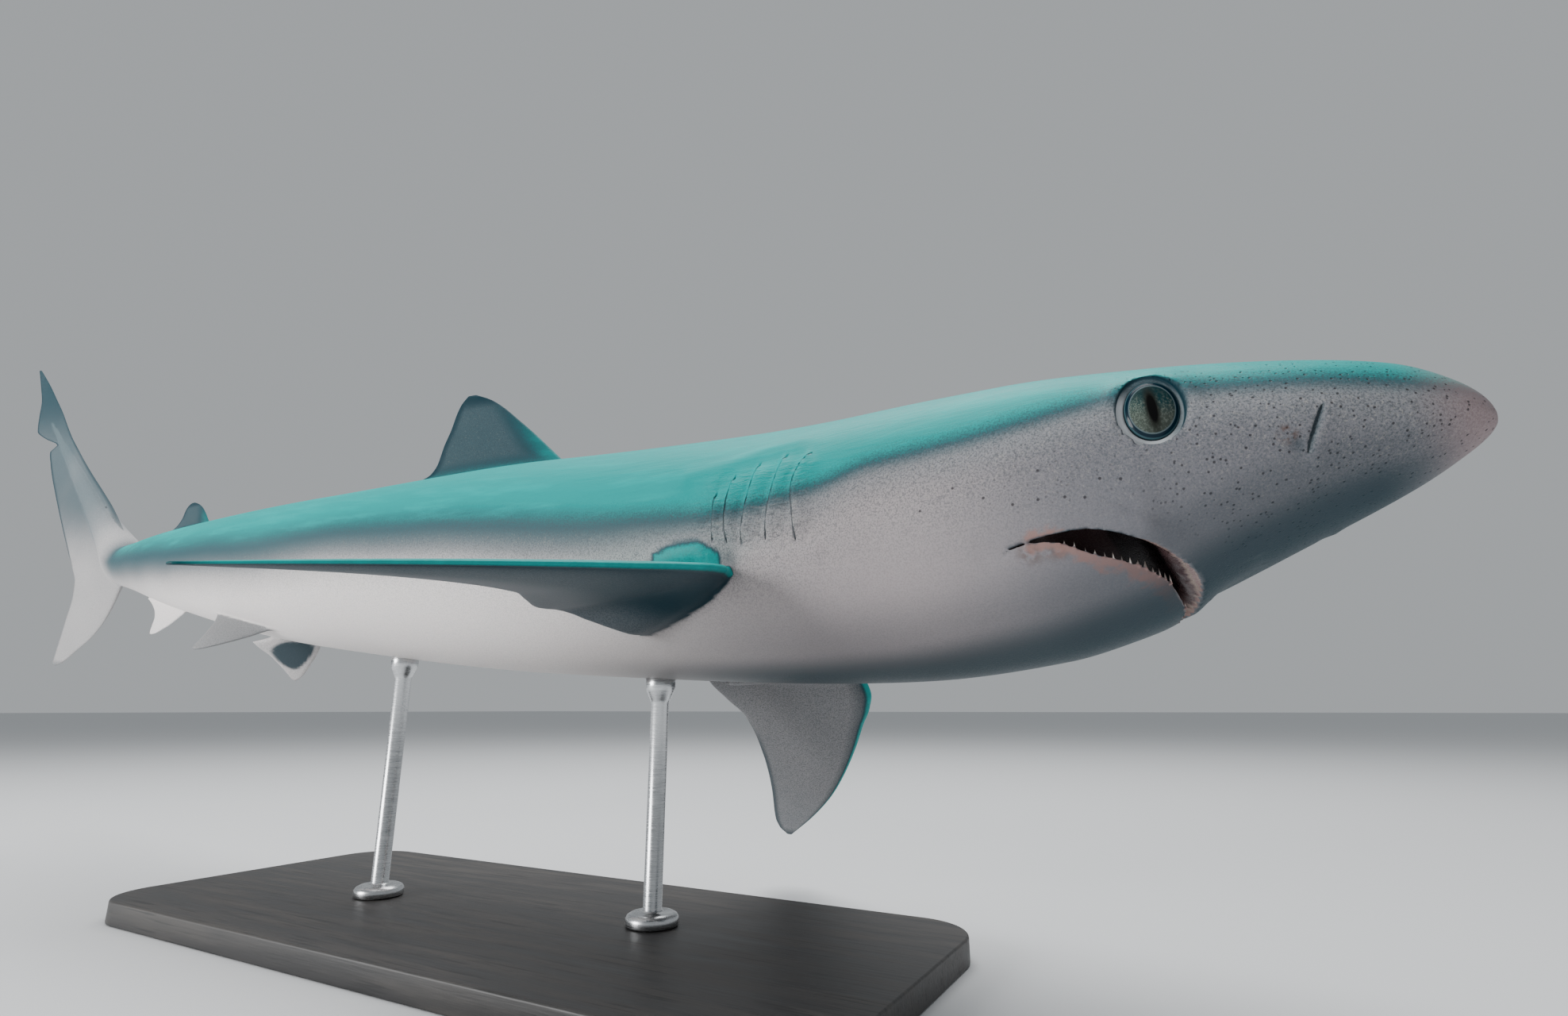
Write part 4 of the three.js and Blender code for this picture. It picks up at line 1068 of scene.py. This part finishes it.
def spun(outline, steps):
    """A round solid, turned about Z from (radius, height) points."""
    bm = bmesh.new()
    profile = [bm.verts.new((radius, 0, height)) for radius, height in outline]
    edges = [bm.edges.new(pair) for pair in zip(profile, profile[1:])]
    bmesh.ops.spin(bm, geom=profile + edges, cent=(0, 0, 0), axis=(0, 0, 1), angle=2 * math.pi, steps=steps,
                   use_merge=True)
    bmesh.ops.remove_doubles(bm, verts=bm.verts, dist=1e-6)
    return bm


for side, eye_name in ((1, "eye_right"), (-1, "eye_left")):
    centre, ahead, up, out = eye_centre(side, SOCKET_SUNK + EYE_SUNK, EYE_DRAWN)
    eye_bm = spun([(radius * EYE_RADIUS / 1000, depth / 1000) for radius, depth in EYE_PROFILE], 64)
    uv = eye_bm.loops.layers.uv.new("eye_map")
    for face in eye_bm.faces:
        for loop in face.loops:
            spread_mm = loop.vert.co * 1000 / EYE_RADIUS / 2
            loop[uv].uv = (spread_mm.x + 0.5, spread_mm.y + 0.5)
    turn = Matrix((ahead, up * EYE_TALL, out)).transposed().to_4x4()
    bmesh.ops.transform(eye_bm, matrix=Matrix.Translation(centre) @ turn, verts=eye_bm.verts)
    bmesh.ops.recalc_face_normals(eye_bm, faces=eye_bm.faces)
    eye = piece(eye_name + "_ball", eye_bm, eye_finish)
    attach(eye, "root")
    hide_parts(eye_name)

# ---------------------------------------------------------------- the stand
# A plain display stand: a flat base of black-stained oak with rounded corners, and two bright
# steel rods screwed into it through turned collars. Each rod ends in a small cup under the belly.
BASE_LENGTH, BASE_WIDTH, BASE_THICKNESS = 0.600, 0.240, 0.016
BASE_CORNER = 0.040
BASE_BEVEL = 0.0015
oak_finish, tree, oak_shader = new_finish("stained_oak")
where = node(tree, "ShaderNodeTexCoord")["Object"]
growth = grain(26.0, 5.0, (0.35, 4.0, 4.0), 0.62)
pits = grain(150.0, 2.0, (0.12, 3.0, 3.0), 0.5)
oak = mixed(step(growth, 0.35, 0.7), (0.022, 0.021, 0.021, 1.0), (0.052, 0.047, 0.043, 1.0))
oak = mixed(step(pits, 0.56, 0.68, 0.0, 0.8), oak, (0.010, 0.010, 0.010, 1.0))
tree.links.new(oak, oak_shader.inputs["Base Color"])
tree.links.new(step(growth, 0.3, 0.7, 0.42, 0.55), oak_shader.inputs["Roughness"])
oak_bump = node(tree, "ShaderNodeBump", {"Height": minus(growth, pits), "Strength": 0.25,
                                         "Distance": 0.0006})["Normal"]
tree.links.new(oak_bump, oak_shader.inputs["Normal"])
base_bm = bmesh.new()
bmesh.ops.create_cube(base_bm, size=1.0)
bmesh.ops.scale(base_bm, vec=(BASE_LENGTH, BASE_WIDTH, BASE_THICKNESS), verts=base_bm.verts)
bmesh.ops.translate(base_bm, vec=(0, 0, BASE_THICKNESS / 2), verts=base_bm.verts)
uprights = [edge for edge in base_bm.edges if abs(edge.verts[0].co.z - edge.verts[1].co.z) > 0.001]
bmesh.ops.bevel(base_bm, geom=uprights, offset=BASE_CORNER, affect="EDGES", segments=16, profile=0.5,
                material=-1)
rims = [edge for edge in base_bm.edges if abs(edge.verts[0].co.z - edge.verts[1].co.z) < 0.0001
        and any(abs(face.normal.z) > 0.9 for face in edge.link_faces)
        and any(abs(face.normal.z) < 0.1 for face in edge.link_faces)]
bmesh.ops.bevel(base_bm, geom=rims, offset=BASE_BEVEL, affect="EDGES", segments=3, profile=0.5, material=-1)
base = piece("base_plate", base_bm, oak_finish)
base.data.polygons.foreach_set("use_smooth", [abs(face.normal.z) < 0.98 for face in base.data.polygons])
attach(base, "root")
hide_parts("stand_base")

ROD_RADIUS, COLLAR_RADIUS, COLLAR_HEIGHT = 0.006, 0.017, 0.008
CUP_RADIUS, CUP_HEIGHT = 0.010, 0.016
ROD_CLEARANCE = 0.0003
steel_finish, tree, steel_shader = new_finish("brushed_steel")
where = node(tree, "ShaderNodeTexCoord")["Object"]
brushing = grain(300.0, 3.0, (0.3, 0.3, 6.0), 0.6)
steel = mixed(step(brushing, 0.3, 0.7), (0.50, 0.51, 0.52, 1.0), (0.66, 0.67, 0.68, 1.0))
tree.links.new(steel, steel_shader.inputs["Base Color"])
tree.links.new(step(brushing, 0.3, 0.7, 0.22, 0.36), steel_shader.inputs["Roughness"])
steel_bump = node(tree, "ShaderNodeBump", {"Height": brushing, "Strength": 0.15,
                                           "Distance": 0.0002})["Normal"]
tree.links.new(steel_bump, steel_shader.inputs["Normal"])
steel_shader.inputs["Metallic"].default_value = 1.0
for station, rod_name in zip(STAND_STATIONS, ("rod_front", "rod_rear")):
    top = axis_at(station)
    belly = top.z - section(station)[1] * PERCENT
    foot = BASE_THICKNESS + ROD_CLEARANCE
    outline = [(0, foot), (COLLAR_RADIUS - 0.0008, foot), (COLLAR_RADIUS, foot + 0.0008),
               (COLLAR_RADIUS, foot + 0.6 * COLLAR_HEIGHT),
               (0.93 * COLLAR_RADIUS, foot + 0.82 * COLLAR_HEIGHT),
               (0.8 * COLLAR_RADIUS, foot + 0.96 * COLLAR_HEIGHT),
               (0.72 * COLLAR_RADIUS, foot + COLLAR_HEIGHT),
               (1.25 * ROD_RADIUS, foot + COLLAR_HEIGHT), (ROD_RADIUS, foot + 1.15 * COLLAR_HEIGHT),
               (ROD_RADIUS, belly - CUP_HEIGHT), (0.68 * CUP_RADIUS, belly - 0.85 * CUP_HEIGHT),
               (0.94 * CUP_RADIUS, belly - 0.5 * CUP_HEIGHT), (CUP_RADIUS, belly - 0.3 * CUP_HEIGHT),
               (CUP_RADIUS, belly + 0.0025), (0.8 * CUP_RADIUS, belly + 0.0035), (0, belly + 0.0035)]
    rod_bm = spun(outline, 48)
    bmesh.ops.translate(rod_bm, vec=(top.x, top.y, 0), verts=rod_bm.verts)
    bmesh.ops.recalc_face_normals(rod_bm, faces=rod_bm.faces)
    rod = piece(rod_name, rod_bm, steel_finish)
    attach(rod, "root")
    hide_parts("stand_" + rod_name)
